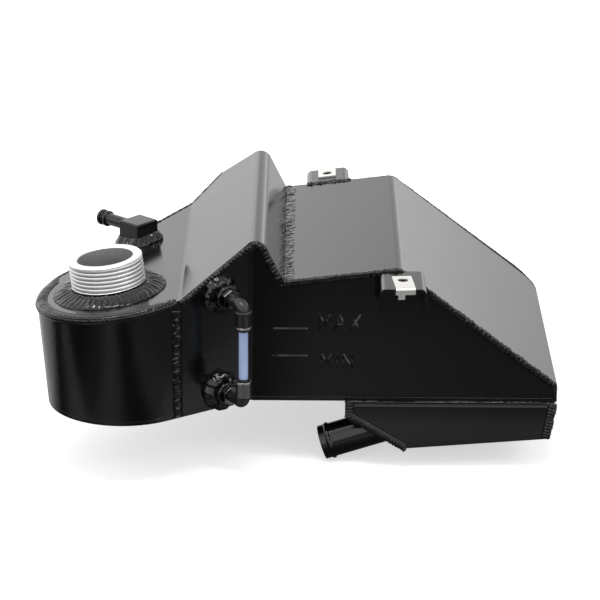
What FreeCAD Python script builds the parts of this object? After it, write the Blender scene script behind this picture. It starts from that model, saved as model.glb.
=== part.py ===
import FreeCAD, Part
import os
from math import atan2, cos, pi, radians, sin, tan

import Sketcher
from FreeCAD import Placement, Rotation, Vector

# Coolant degas bottle: a folded and welded sheet tank with a filler neck, a sight gauge, a vent
# nipple, a hose outlet and two fixing brackets. Millimetres, +Z up, +X along the near face.
# The tank is drawn with its vertical near bend at X 0, its near face at Y 0 and the underside of
# its bottom plate at Z 0. Every piece is then placed so that the origin is the threaded hole of
# the near clip nut, which is where the car holds the bottle.

os.makedirs("parts", exist_ok=True)
doc = FreeCAD.newDocument("DegasBottle")

# Driving dimensions: name, value in millimetres or degrees, what it is
sizes = [
    ("sheetThick", 3.0, "tank sheet thickness"),
    ("nearLength", 208.7, "near face, from the vertical bend to the end wall"),
    ("tankDepth", 208.0, "near face to far face"),
    ("nearBend", 7.0, "outer radius of the vertical bend in the near wall"),
    ("farCorner", 16.0, "outer radius of the far corner of the end wall"),
    ("wallAngle", 35.0, "angled near wall, degrees from the near face"),
    ("seamBack", 58.0, "front seam, along the angled wall from the near bend"),
    ("farRadius", 109.8, "rear radius of the round end at the bottom"),
    ("farRadiusTop", 69.4, "rear radius of the round end at the top of its roll"),
    ("farBendPlace", 25.2, "far bend, left of the near bend"),
    ("roundRadius", 52.0, "front radius of the round end at the bottom"),
    ("roundRadiusTop", 54.9, "front radius of the round end at the top of its roll"),
    ("roundReach", 137.0, "round end, left of the near bend, at the bottom"),
    ("roundReachTop", 145.6, "round end, left of the near bend, at the top of its roll"),
    ("rollHeight", 100.0, "height at which the roll's top sizes are taken"),
    ("topTilt", 7.0, "tilt of the flat tops, degrees"),
    ("rampAngle", 33.2, "ramp, degrees"),
    ("steepAngle", 63.3, "steep face, degrees"),
    ("slopeAngle", 37.45, "long slope, degrees"),
    ("foldPlace", 45.8, "first fold of the left top, left of the near bend"),
    ("foldLevel", 83.5, "height of the first fold"),
    ("ridgePlace", 7.0, "sharp ridge line, right of the near bend"),
    ("valleyPlace", 22.8, "valley line, right of the near bend"),
    ("slopeRun", 107.95, "long slope, its run from the fold to the end wall"),
    ("ridgeRadius", 8.0, "outer radius of the rolled ridge"),
    ("foldRadius", 7.0, "outer radius of the soft folds"),
    ("endEdge", 2.6, "rounding of the slope's lower edge"),
    ("sumpLeft", 66.0, "lower box, left wall from the near bend"),
    ("sumpProud", 6.0, "lower box, in front of the near face"),
    ("sumpDepth", 140.0, "lower box, back wall from the near face"),
    ("sumpStep", 9.5, "lower box, height of its left wall"),
    ("sumpDeepPlace", 104.0, "deepest line of the lower box"),
    ("sumpDeep", 32.5, "deepest level of the lower box"),
    ("sumpInset", 1.1, "lower box, right wall at the top, inside the end wall"),
    ("sumpFootInset", 5.3, "lower box, right wall at the bottom, inside the end wall"),
    ("sumpShallow", 24.6, "level of the lower box at its right foot"),
    ("sumpLip", 2.0, "lip of the lower box above the tank's underside"),
    ("sumpRound", 4.5, "rounding of the lower box's front edges"),
    ("outletOuter", 23.5, "outlet pipe, outside"),
    ("outletWall", 2.4, "outlet pipe, wall"),
    ("outletBead", 1.0, "outlet bead, height"),
    ("outletBeadBack", 6.0, "outlet bead, from the pipe's end"),
    ("outletBeadFoot", 3.4, "outlet bead, width at its foot"),
    ("outletBeadTop", 1.2, "outlet bead, width at its crest"),
    ("outletTilt", 18.0, "outlet axis, degrees below the level"),
    ("outletSide", 12.4, "outlet axis, behind the near face"),
    ("outletEndPlace", 49.4, "middle of the pipe's end, right of the near bend"),
    ("outletEndDrop", 35.7, "middle of the pipe's end, below the tank"),
    ("outletLength", 53.0, "outlet pipe, length, to inside the lower box"),
    ("neckOuter", 50.0, "filler neck, outside of its thread"),
    ("neckBore", 37.8, "filler neck, bore"),
    ("neckHeight", 24.0, "filler neck, height above the plate"),
    ("neckFlange", 57.0, "filler neck, flange diameter"),
    ("neckFlangeThick", 4.6, "filler neck, flange thickness"),
    ("neckWall", 4.0, "filler neck, wall of its spigot"),
    ("neckEdge", 0.8, "filler neck, bevels"),
    ("neckPlace", 94.4, "filler neck, left of the near bend"),
    ("neckSide", 5.1, "filler neck, behind the near face"),
    ("neckUndercut", 1.2, "relief below the thread, depth"),
    ("neckRelief", 2.2, "relief below the thread, length"),
    ("drillGap", 0.2, "clearance of a spigot in a drilled hole"),
    ("neckWeldOuter", 75.0, "weld ring round the neck, outside"),
    ("neckWeldHeight", 3.6, "weld ring round the neck, height"),
    ("rimBead", 4.8, "rim bead, its two legs"),
    ("rimCrown", 0.9, "rim bead, its crest beyond the corner, both ways"),
    ("edgeBead", 2.6, "bead along a straight edge, its two legs"),
    ("edgeCrown", 0.5, "bead along a straight edge, its crest beyond the corner"),
    ("beadSink", 0.4, "beads, depth of their feet in the sheets before they are cut back"),
    ("beadFlat", 0.6, "beads, share of a leg where the flat crest ends"),
    ("seamBead", 8.0, "front seam bead, width"),
    ("seamCrown", 1.5, "front seam bead, height"),
    ("valleyBead", 6.5, "valley bead, leg"),
    ("weldCrest", 0.9, "round welds and the valley bead, crest beyond the chord"),
    ("sumpBead", 3.2, "lower box beads, their two legs"),
    ("sumpCrown", 0.4, "lower box beads, their crest beyond the corner"),
    ("outletWeld", 3.4, "outlet weld, reach on the lower box"),
    ("outletWeldHeight", 2.6, "outlet weld, height"),
    ("outletWeldEdge", 0.7, "outlet weld, thickness at its upper edge"),
    ("bracketBead", 2.4, "bracket welds, leg"),
    ("ventPlace", 80.4, "vent block, left of the near bend"),
    ("ventSide", 102.8, "vent block, behind the near face"),
    ("ventTurn", 42.0, "vent block, degrees turned on the plate"),
    ("ventWidth", 20.0, "vent block, across the nipple"),
    ("ventLength", 18.0, "vent block, along the nipple"),
    ("ventHeight", 15.7, "vent block, top above the plate at its middle"),
    ("ventBevel", 0.8, "vent block, edge bevel"),
    ("ventBore", 4.6, "vent drilling"),
    ("ventLevel", 9.8, "nipple axis above the plate"),
    ("ventWeld", 4.2, "weld round the vent block, reach"),
    ("ventWeldHeight", 6.2, "weld round the vent block, height"),
    ("nippleOuter", 8.4, "vent nipple, outside"),
    ("nippleLength", 29.5, "vent nipple, beyond the block"),
    ("nippleBead", 1.4, "vent nipple beads, height"),
    ("nipplePitch", 5.3, "vent nipple, one bead to the next"),
    ("nippleSpigot", 6.0, "vent nipple, diameter and length in the block"),
    ("gaugeBack", 24.2, "sight gauge, along the angled wall from the near bend"),
    ("gaugeReach", 28.5, "sight tube axis from the angled wall"),
    ("gaugeUpper", 82.0, "upper elbow axis, height"),
    ("gaugeLower", 13.3, "lower elbow axis, height"),
    ("gaugeLeg", 15.7, "elbow axis to the elbow's end face"),
    ("bungOuter", 16.0, "weld-in bung, outside"),
    ("bungBore", 9.6, "weld-in bung, bore"),
    ("bungHeight", 10.5, "weld-in bung, proud of the wall"),
    ("bungWeld", 4.5, "weld round the bung, leg"),
    ("studHex", 12.0, "stud, across flats"),
    ("studHexThick", 4.6, "stud, hexagon thickness"),
    ("threadGap", 0.1, "clearance between a thread and its hole"),
    ("studStem", 5.2, "stud, diameter of the stem in the elbow"),
    ("studStemLength", 6.0, "stud, length of the stem in the elbow"),
    ("studBore", 4.0, "stud, bore"),
    ("studThreadLength", 9.0, "stud, thread length"),
    ("elbowLeg", 7.4, "elbow, diameter of its legs"),
    ("elbowBody", 10.4, "elbow, diameter of its tube socket"),
    ("elbowCollar", 11.2, "elbow, diameter of its shoulder"),
    ("elbowCollarThick", 2.6, "elbow, thickness of its shoulder"),
    ("elbowSocket", 10.0, "elbow, length of its tube socket"),
    ("elbowBend", 4.2, "elbow, radius of its bend"),
    ("elbowBore", 3.6, "elbow, waterway"),
    ("tubeOuter", 6.35, "sight tube, outside"),
    ("tubeBore", 4.3, "sight tube, bore"),
    ("tubeSeat", 8.0, "sight tube, depth in the elbow"),
    ("tubeGap", 0.15, "clearance round the sight tube"),
    ("ringOuter", 10.9, "end ring, outside"),
    ("ringThick", 1.3, "end ring, thickness"),
    ("colletOuter", 8.2, "release ring, sleeve diameter"),
    ("colletHead", 8.6, "release ring, head diameter"),
    ("colletProud", 1.8, "release ring, head beyond the end ring"),
    ("colletTravel", 1.2, "release ring, travel"),
    ("colletSleeve", 3.0, "release ring, sleeve inside the elbow"),
    ("colletGap", 0.3, "clearance round the release ring"),
    ("sealThick", 1.2, "o-ring, section"),
    ("bracketWidth", 31.0, "bracket, across"),
    ("bracketReach", 36.5, "bracket, out from the wall"),
    ("bracketDrop", 18.0, "bracket, height of its legs"),
    ("bracketThick", 2.5, "bracket, sheet"),
    ("bracketBend", 4.0, "bracket, outer bend radius"),
    ("bracketPlace", 101.9, "near bracket, middle from the near bend"),
    ("bracketLevel", 94.0, "near bracket, top of its flange"),
    ("farBracketPlace", 53.0, "far bracket, middle from the near bend"),
    ("farBracketSink", 1.2, "far bracket, below the right top"),
    ("clipBack", 14.5, "clip nut hole, from the bracket's front edge"),
    ("clipWidth", 13.0, "clip nut, across"),
    ("clipLength", 24.5, "clip nut, length over the bracket"),
    ("clipThick", 1.2, "clip nut, spring sheet"),
    ("clipHole", 7.0, "clip nut, clearance hole"),
    ("clipThread", 6.0, "clip nut, thread diameter"),
    ("clipBarrel", 8.6, "clip nut, outside of its drawn collar"),
    ("clipBarrelHeight", 4.2, "clip nut, height of its drawn collar"),
    ("clipSpare", 0.2, "clip nut, spare room on the sheet"),
    ("clipSlack", 0.9, "clip nut, spare room in front of the sheet"),
    ("clipTab", 4.4, "clip nut, width and length of its lead-in tab"),
    ("clipTabSide", 4.9, "clip nut, far side of its lead-in tab from the hole"),
    ("clipFold", 1.8, "clip nut, outer radius of its fold"),
    ("clipTurn", 5.5, "near clip nut, degrees turned on its bracket"),
    ("bracketHole", 9.0, "bracket, hole for the bolt"),
]
sheet = doc.addObject("Spreadsheet::Sheet", "Sizes")
for row, (alias, value, meaning) in enumerate(sizes, start=1):
    sheet.set(f"A{row}", meaning)
    sheet.set(f"B{row}", str(value))
    sheet.setAlias(f"B{row}", alias)
doc.recompute()


def size(alias):
    return float(sheet.get(alias))


def angle(alias):
    return radians(size(alias))


# Expressions that several pieces share. The roof is a line in the X Z plane, by its corners.
foldX = "-Sizes.foldPlace"
foldZ = "Sizes.foldLevel"
ridgeX = "Sizes.ridgePlace"
ridgeZ = f"({foldZ} + (Sizes.ridgePlace + Sizes.foldPlace) * tan(Sizes.rampAngle))"
valleyX = "Sizes.valleyPlace"
valleyZ = f"({ridgeZ} - (Sizes.valleyPlace - Sizes.ridgePlace) * tan(Sizes.steepAngle))"
slopeX = "(Sizes.nearLength - Sizes.slopeRun)"
slopeZ = f"({valleyZ} + ({slopeX} - Sizes.valleyPlace) * tan(Sizes.topTilt))"
endX = "Sizes.nearLength"
endZ = f"({slopeZ} - Sizes.slopeRun * tan(Sizes.slopeAngle))"
thick = "Sizes.sheetThick"
slopePlace = size("nearLength") - size("slopeRun")


def roofHeight(x):
    """Height of the roof's outer surface above a point, for choosing edges."""
    fold = (-size("foldPlace"), size("foldLevel"))
    ridge = (size("ridgePlace"), fold[1] + (size("ridgePlace") - fold[0]) * tan(angle("rampAngle")))
    valley = (size("valleyPlace"), ridge[1] - (size("valleyPlace") - ridge[0]) * tan(angle("steepAngle")))
    slope = (slopePlace, valley[1] + (slopePlace - valley[0]) * tan(angle("topTilt")))
    if x < fold[0]:
        return fold[1] + (x - fold[0]) * tan(angle("topTilt"))
    if x < ridge[0]:
        return fold[1] + (x - fold[0]) * tan(angle("rampAngle"))
    if x < valley[0]:
        return ridge[1] - (x - ridge[0]) * tan(angle("steepAngle"))
    if x < slope[0]:
        return valley[1] + (x - valley[0]) * tan(angle("topTilt"))
    return slope[1] - (x - slope[0]) * tan(angle("slopeAngle"))


def under(cornerX, cornerZ, first, second):
    """The corner of a folded sheet's underside, below an outer corner between two slopes."""
    mean = f"(({first}) + ({second})) / 2"
    half = f"(({second}) - ({first})) / 2"
    return (f"{cornerX} + {thick} * sin({mean}) / cos({half})",
            f"{cornerZ} - {thick} * cos({mean}) / cos({half})")


tilt = "Sizes.topTilt"
ramp = "Sizes.rampAngle"
steep = "-Sizes.steepAngle"
slope = "-Sizes.slopeAngle"
underFold = under(foldX, foldZ, tilt, ramp)
underRidge = under(ridgeX, ridgeZ, ramp, steep)
underSlope = under(slopeX, slopeZ, tilt, slope)
# Where the steep sheet's inner face meets the right top, which runs under its lower edge
steepRun = f"({thick} * cos(Sizes.topTilt) / sin(Sizes.steepAngle + Sizes.topTilt))"
landX = f"({valleyX} - {steepRun})"
landZ = f"({valleyZ} - {steepRun} * tan(Sizes.topTilt))"
landUnderZ = f"({landZ} - {thick} / cos(Sizes.topTilt))"


def newBody(label):
    body = doc.addObject("PartDesign::Body", label)
    body.Label = label
    return body


def newSketch(body, name, role, offset=None):
    plane = [item for item in body.Origin.OriginFeatures if item.Role == role][0]
    sketch = body.newObject("Sketcher::SketchObject", name)
    sketch.AttachmentSupport = [(plane, "")]
    sketch.MapMode = "FlatFace"
    if offset:
        sketch.AttachmentOffset = offset
    return sketch


def drive(sketch, kind, places, expression, start):
    """Adds one dimension to a sketch and ties it to the sheet."""
    index = sketch.addConstraint(Sketcher.Constraint(kind, *places, start))
    sketch.setExpression(f"Constraints[{index}]", expression)


def polygon(sketch, corners):
    """A closed outline with straight sides. Each corner is tied to the sheet by its two expressions."""
    count = len(corners)
    base = sketch.GeometryCount
    turn = 2 * pi / count
    start = [Vector(cos(turn * step), sin(turn * step), 0) for step in range(count)]
    for step in range(count):
        sketch.addGeometry(Part.LineSegment(start[step], start[(step + 1) % count]), False)
    for step in range(count):
        following = base + (step + 1) % count
        sketch.addConstraint(Sketcher.Constraint("Coincident", base + step, 2, following, 1))
    for step, (across, up) in enumerate(corners):
        drive(sketch, "DistanceX", (-1, 1, base + step, 1), across, start[step].x)
        drive(sketch, "DistanceY", (-1, 1, base + step, 1), up, start[step].y)


def circle(sketch, across, up, diameter):
    index = sketch.addGeometry(Part.Circle(Vector(0, 0, 0), Vector(0, 0, 1), 1.0), False)
    drive(sketch, "DistanceX", (-1, 1, index, 3), across, 0)
    drive(sketch, "DistanceY", (-1, 1, index, 3), up, 0)
    drive(sketch, "Diameter", (index,), diameter, 2.0)


def pad(body, name, sketch, length, reverse=False, both=False):
    feature = body.newObject("PartDesign::Pad", name)
    feature.Profile = sketch
    feature.Midplane = both
    feature.Reversed = reverse
    feature.setExpression("Length", length)
    return feature


def pocket(body, name, sketch, length, reverse=False, both=False):
    feature = body.newObject("PartDesign::Pocket", name)
    feature.Profile = sketch
    feature.Midplane = both
    feature.Reversed = reverse
    feature.setExpression("Length", length)
    return feature


def revolve(body, name, sketch, axis):
    feature = body.newObject("PartDesign::Revolution", name)
    feature.Profile = sketch
    feature.ReferenceAxis = (sketch, [axis])
    feature.Angle = 360
    return feature


def roundEdges(body, name, feature, radius, wanted):
    """Rounds the edges of a feature for which wanted is true."""
    doc.recompute()
    names = [f"Edge{number}" for number, edge in enumerate(feature.Shape.Edges, start=1) if wanted(edge)]
    rounded = body.newObject("PartDesign::Fillet", name)
    rounded.Base = (feature, names)
    rounded.setExpression("Radius", radius)
    return rounded


def near(value, target):
    return abs(value - target) < 0.05


def upright(edge, x, y):
    """True for an upright edge through a point of the plan."""
    ends = [vertex.Point for vertex in edge.Vertexes]
    return len(ends) == 2 and all(near(end.x, x) and near(end.y, y) for end in ends)


def lengthwise(edge, x, z):
    """True for an edge that runs along Y at a point of the X Z plane."""
    ends = [vertex.Point for vertex in edge.Vertexes]
    return len(ends) == 2 and all(near(end.x, x) and near(end.z, z) for end in ends)


def put(piece, x="0", y="0", z="0", axis=None, turn=None):
    """Places a piece of the tank, measured from the near bend, in the frame of the clip nut hole."""
    if axis:
        piece.Placement = Placement(Vector(), Rotation(axis, 1))
        piece.setExpression("Placement.Rotation.Angle", turn)
    piece.setExpression("Placement.Base.x", f"{x} - {holeX}")
    piece.setExpression("Placement.Base.y", f"{y} - {holeY}")
    piece.setExpression("Placement.Base.z", f"{z} - {holeZ}")


holeX = "Sizes.bracketPlace"
holeY = "(Sizes.clipBack - Sizes.bracketReach)"
holeZ = "(Sizes.bracketLevel - Sizes.bracketThick - Sizes.clipSpare - Sizes.clipThick)"


def rollShape(level, inset=0.0):
    """The rolled sheet's line in plan at one level: seam, tangent points, centres, radii, far end."""
    share = level / size("rollHeight")
    reach = size("roundReach") + share * (size("roundReachTop") - size("roundReach"))
    radius = size("roundRadius") + share * (size("roundRadiusTop") - size("roundRadius"))
    rear = size("farRadius") + share * (size("farRadiusTop") - size("farRadius"))
    turn = angle("wallAngle")
    outward = Vector(sin(turn), -cos(turn), 0)
    centre = Vector(radius - reach, (radius - (reach - radius) * sin(turn)) / cos(turn), 0)
    rearCentre = Vector(rear - reach, centre.y, 0)
    corner = Vector(-size("farBendPlace"), size("tankDepth"), 0)
    toCentre = rearCentre - corner
    heading = atan2(toCentre.y, toCentre.x) - atan2(rear, (toCentre.Length ** 2 - rear ** 2) ** 0.5)
    farOut = Vector(sin(heading), -cos(heading), 0)
    seam = Vector(-size("seamBack") * cos(turn), -size("seamBack") * sin(turn), 0)
    return {
        "seam": seam - outward * inset,
        "front": centre + outward * (radius - inset),
        "frontMiddle": centre + Vector(-cos(pi / 3), -sin(pi / 3), 0) * (radius - inset),
        "left": Vector(inset - reach, centre.y, 0),
        "rearMiddle": rearCentre + Vector(cos(pi * 0.95), sin(pi * 0.95), 0) * (rear - inset),
        "rear": rearCentre + farOut * (rear - inset),
        "corner": corner - farOut * inset,
    }


def drawRoll(sketch, level):
    """Closed section of the rolled sheet: outer line, square far end, inner line, square seam end."""
    outer = rollShape(level)
    inner = rollShape(level, size("sheetThick"))
    for line in (outer, inner):
        sketch.addGeometry(Part.LineSegment(line["seam"], line["front"]), False)
        sketch.addGeometry(Part.Arc(line["front"], line["frontMiddle"], line["left"]), False)
        sketch.addGeometry(Part.Arc(line["left"], line["rearMiddle"], line["rear"]), False)
        sketch.addGeometry(Part.LineSegment(line["rear"], line["corner"]), False)
    sketch.addGeometry(Part.LineSegment(outer["corner"], inner["corner"]), False)
    sketch.addGeometry(Part.LineSegment(inner["seam"], outer["seam"]), False)


def drawPlan(sketch, level):
    """The tank's outer line in plan at one level, with the near bend and the far corner rounded."""
    line = rollShape(level)
    turn = angle("wallAngle")
    bend = size("nearBend")
    reach = bend * tan(turn / 2)
    bendIn = Vector(reach, 0, 0)
    bendOut = Vector(-reach * cos(turn), -reach * sin(turn), 0)
    bendMiddle = Vector(reach - bend * sin(turn / 2), bend * (1 - cos(turn / 2)), 0)
    length = size("nearLength")
    depth = size("tankDepth")
    corner = size("farCorner")
    cornerIn = Vector(length - corner, depth, 0)
    cornerOut = Vector(length, depth - corner, 0)
    cornerMiddle = Vector(length - corner * (1 - cos(pi / 4)), depth - corner * (1 - sin(pi / 4)), 0)
    sketch.addGeometry(Part.LineSegment(Vector(length, 0, 0), bendIn), False)
    sketch.addGeometry(Part.Arc(bendIn, bendMiddle, bendOut), False)
    sketch.addGeometry(Part.LineSegment(bendOut, line["front"]), False)
    sketch.addGeometry(Part.Arc(line["front"], line["frontMiddle"], line["left"]), False)
    sketch.addGeometry(Part.Arc(line["left"], line["rearMiddle"], line["rear"]), False)
    sketch.addGeometry(Part.LineSegment(line["rear"], line["corner"]), False)
    sketch.addGeometry(Part.LineSegment(line["corner"], cornerIn), False)
    sketch.addGeometry(Part.Arc(cornerIn, cornerMiddle, cornerOut), False)
    sketch.addGeometry(Part.LineSegment(cornerOut, Vector(length, 0, 0)), False)


# A length beyond every piece, for cuts that go right through
clear = "300"
roofLine = [
    (f"-{clear}", f"{foldZ} - ({clear} - Sizes.foldPlace) * tan({tilt}) - {thick} / cos({tilt})"),
    underFold,
    underRidge,
    (landX, landZ),
    (landX, landUnderZ),
    underSlope,
    (f"{clear}", f"{endZ} - ({clear} - {endX}) * tan(Sizes.slopeAngle) - {thick} / cos({slope})"),
    (f"{clear}", clear),
    (f"-{clear}", clear),
]


def cutRoof(body):
    """Cuts a wall to the underside of the top plates, and rounds it under their inner bends."""
    sketch = newSketch(body, body.Label + "RoofLine", "XZ_Plane")
    polygon(sketch, roofLine)
    return pocket(body, body.Label + "Roof", sketch, f"{clear} * 4", both=True)


def underBends():
    """Where the plates' undersides turn inwards, in the X Z plane, with the radius of each bend."""
    fold = (-size("foldPlace"), roofHeight(-size("foldPlace")))
    t = size("sheetThick")
    found = []
    for x, first, second in ((size("ridgePlace"), "rampAngle", "steepAngle"),
                             (slopePlace, "topTilt", "slopeAngle")):
        before = angle(first)
        after = -angle(second)
        mean = (before + after) / 2
        half = (after - before) / 2
        z = roofHeight(x - 1e-9)
        found.append((x + t * sin(mean) / cos(half), z - t * cos(mean) / cos(half)))
    return found


def roundUnderBends(body, feature):
    """Rounds a wall's top where it meets the inside of the ridge and of the slope's fold."""
    ridge, fold = underBends()
    label = body.Label
    first = roundEdges(body, label + "Ridge", feature, "Sizes.ridgeRadius - Sizes.sheetThick",
                       lambda edge: lengthwise(edge, *ridge))
    roundEdges(body, label + "Fold", first, "Sizes.foldRadius - Sizes.sheetThick",
               lambda edge: lengthwise(edge, *fold))


# Near wall: the long near face and the angled face are one folded sheet
nearWall = newBody("near_wall")
profile = newSketch(nearWall, "nearWallPlan", "XY_Plane")
profile.setExpression("AttachmentOffset.Base.z", thick)
seamX = "-Sizes.seamBack * cos(Sizes.wallAngle)"
seamY = "-Sizes.seamBack * sin(Sizes.wallAngle)"
polygon(profile, [
    (endX, "0"),
    ("0", "0"),
    (seamX, seamY),
    (f"{seamX} - {thick} * sin(Sizes.wallAngle)", f"{seamY} + {thick} * cos(Sizes.wallAngle)"),
    (f"-{thick} * tan(Sizes.wallAngle / 2)", thick),
    (endX, thick),
])
wall = pad(nearWall, "nearWallSheet", profile, ridgeZ)
bent = roundEdges(nearWall, "nearWallBend", wall, "Sizes.nearBend", lambda edge: upright(edge, 0, 0))
innerBend = -size("sheetThick") * tan(angle("wallAngle") / 2)
roundEdges(nearWall, "nearWallInnerBend", bent, f"Sizes.nearBend - {thick}",
           lambda edge: upright(edge, innerBend, size("sheetThick")))
roundUnderBends(nearWall, cutRoof(nearWall))

# The sight gauge stands on the angled wall: its foot, and the axis of its tube
footX = "-Sizes.gaugeBack * cos(Sizes.wallAngle)"
footY = "-Sizes.gaugeBack * sin(Sizes.wallAngle)"
tubeX = f"({footX} + Sizes.gaugeReach * sin(Sizes.wallAngle))"
tubeY = f"({footY} - Sizes.gaugeReach * cos(Sizes.wallAngle))"
outwards = Vector(0, 1, 0)
for side, level in (("upper", "Sizes.gaugeUpper"), ("lower", "Sizes.gaugeLower")):
    drilling = newSketch(nearWall, side + "GaugeCircle", "XZ_Plane")
    drilling.AttachmentOffset = Placement(Vector(), Rotation(outwards, 1))
    drilling.setExpression("AttachmentOffset.Rotation.Angle", "Sizes.wallAngle")
    drilling.setExpression("AttachmentOffset.Base.x", footX)
    drilling.setExpression("AttachmentOffset.Base.y", level)
    drilling.setExpression("AttachmentOffset.Base.z", f"-({footY})")
    circle(drilling, "0", "0", "Sizes.bungBore")
    pocket(nearWall, side + "GaugeHole", drilling, f"{thick} * 4", both=True)
put(nearWall)

# Round end: one rolled sheet from the front seam to the far bend, leaning out towards its top
roundEnd = newBody("round_end_wall")
low = newSketch(roundEnd, "rollFoot", "XY_Plane")
low.setExpression("AttachmentOffset.Base.z", thick)
drawRoll(low, size("sheetThick"))
high = newSketch(roundEnd, "rollTop", "XY_Plane")
high.setExpression("AttachmentOffset.Base.z", "Sizes.rollHeight")
drawRoll(high, size("rollHeight"))
roll = roundEnd.newObject("PartDesign::AdditiveLoft", "rolledSheet")
roll.Profile = low
roll.Sections = [high]
roll.Ruled = True
cutRoof(roundEnd)
put(roundEnd)

# Far wall: far face, rounded far corner and short end wall are one folded sheet
farWall = newBody("far_wall")
profile = newSketch(farWall, "farWallPlan", "XY_Plane")
profile.setExpression("AttachmentOffset.Base.z", thick)
farStart = f"{thick} - Sizes.farBendPlace"
polygon(profile, [
    (farStart, "Sizes.tankDepth"),
    (endX, "Sizes.tankDepth"),
    (endX, thick),
    (f"{endX} - {thick}", thick),
    (f"{endX} - {thick}", f"Sizes.tankDepth - {thick}"),
    (farStart, f"Sizes.tankDepth - {thick}"),
])
wall = pad(farWall, "farWallSheet", profile, ridgeZ)
bent = roundEdges(farWall, "farWallCorner", wall, "Sizes.farCorner",
                  lambda edge: upright(edge, size("nearLength"), size("tankDepth")))
roundEdges(farWall, "farWallInnerCorner", bent, f"Sizes.farCorner - {thick}",
           lambda edge: upright(edge, size("nearLength") - size("sheetThick"),
                                size("tankDepth") - size("sheetThick")))
roundUnderBends(farWall, cutRoof(farWall))
put(farWall)

# Bottom plate, with the opening to the lower box
bottom = newBody("bottom_plate")
profile = newSketch(bottom, "bottomOutline", "XY_Plane")
drawPlan(profile, 0)
pad(bottom, "bottomSheet", profile, thick)
opening = newSketch(bottom, "bottomOpening", "XY_Plane")
sumpRight = "(Sizes.nearLength - Sizes.sumpInset)"
sumpFoot = "(Sizes.nearLength - Sizes.sumpFootInset)"
openLeft = f"Sizes.sumpLeft + {thick}"
openRight = f"{sumpFoot} - {thick}"
openBack = f"Sizes.sumpDepth - {thick}"
polygon(opening, [(openLeft, thick), (openRight, thick), (openRight, openBack), (openLeft, openBack)])
pocket(bottom, "bottomPort", opening, f"{thick} * 2", reverse=True)
put(bottom)


def cutOutside(body, level):
    """Trims a plate to the tank's outline, seen from above."""
    sketch = newSketch(body, body.Label + "Outline", "XY_Plane")
    drawPlan(sketch, level)
    far = 2 * float(clear)
    frame = [Vector(-far, -far, 0), Vector(far, -far, 0), Vector(far, far, 0), Vector(-far, far, 0)]
    for step in range(4):
        sketch.addGeometry(Part.LineSegment(frame[step], frame[(step + 1) % 4]), False)
    return pocket(body, body.Label + "Trim", sketch, f"{clear} * 4", both=True)


# Left top plate: flat, ramp, rolled ridge and steep face are one folded sheet
rimLevel = roofHeight(-size("neckPlace"))
leftTop = newBody("left_top_plate")
profile = newSketch(leftTop, "leftTopSection", "XZ_Plane")
flatEnd = f"{foldZ} - ({clear} - Sizes.foldPlace) * tan({tilt})"
polygon(profile, [
    (f"-{clear}", flatEnd),
    (foldX, foldZ),
    (ridgeX, ridgeZ),
    (valleyX, valleyZ),
    (landX, landZ),
    underRidge,
    underFold,
    (f"-{clear}", f"{flatEnd} - {thick} / cos({tilt})"),
])
folded = pad(leftTop, "leftTopSheet", profile, "Sizes.tankDepth * 3", both=True)
ridgeUnder, slopeUnder = underBends()
outerRidge = roundEdges(leftTop, "ridgeOutside", folded, "Sizes.ridgeRadius",
                        lambda edge: lengthwise(edge, size("ridgePlace"), roofHeight(size("ridgePlace"))))
innerRidge = roundEdges(leftTop, "ridgeInside", outerRidge, f"Sizes.ridgeRadius - {thick}",
                        lambda edge: lengthwise(edge, *ridgeUnder))
roundEdges(leftTop, "foldOutside", innerRidge, "Sizes.foldRadius",
           lambda edge: lengthwise(edge, -size("foldPlace"), size("foldLevel")))
cutOutside(leftTop, rimLevel)

# The neck's hole and the vent's drilling are square to the tilted flat
neckZ = f"({foldZ} - (Sizes.neckPlace - Sizes.foldPlace) * tan({tilt}))"
ventZ = f"({foldZ} - (Sizes.ventPlace - Sizes.foldPlace) * tan({tilt}))"


def holeInTilt(body, name, x, y, z, diameter):
    """A round hole through a sheet, square to the tilted flat."""
    sketch = newSketch(body, name + "Circle", "XY_Plane")
    sketch.AttachmentOffset = Placement(Vector(), Rotation(Vector(0, -1, 0), 1))
    sketch.setExpression("AttachmentOffset.Rotation.Angle", tilt)
    sketch.setExpression("AttachmentOffset.Base.x", x)
    sketch.setExpression("AttachmentOffset.Base.y", y)
    sketch.setExpression("AttachmentOffset.Base.z", z)
    circle(sketch, "0", "0", diameter)
    return pocket(body, name, sketch, f"{thick} * 4", both=True)


neckSpigotOuter = "(Sizes.neckBore + 2 * Sizes.neckWall)"
holeInTilt(leftTop, "neckHole", "-Sizes.neckPlace", "Sizes.neckSide", neckZ,
           f"{neckSpigotOuter} + 2 * Sizes.drillGap")
holeInTilt(leftTop, "ventHole", "-Sizes.ventPlace", "Sizes.ventSide", ventZ, "Sizes.ventBore")
put(leftTop)

# Right top plate: flat and long slope are one folded sheet
rightTop = newBody("right_top_plate")
profile = newSketch(rightTop, "rightTopSection", "XZ_Plane")
polygon(profile, [
    (landX, landZ),
    (slopeX, slopeZ),
    (endX, endZ),
    (endX, f"{endZ} - {thick} / cos({slope})"),
    underSlope,
    (landX, landUnderZ),
])
folded = pad(rightTop, "rightTopSheet", profile, "Sizes.tankDepth * 3", both=True)
outerFold = roundEdges(rightTop, "slopeOutside", folded, "Sizes.foldRadius",
                       lambda edge: lengthwise(edge, slopePlace, roofHeight(slopePlace)))
innerFold = roundEdges(rightTop, "slopeInside", outerFold, f"Sizes.foldRadius - {thick}",
                       lambda edge: lengthwise(edge, *slopeUnder))
roundEdges(rightTop, "slopeEnd", innerFold, "Sizes.endEdge",
           lambda edge: lengthwise(edge, size("nearLength"), roofHeight(size("nearLength"))))
cutOutside(rightTop, rimLevel)
put(rightTop)

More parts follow.
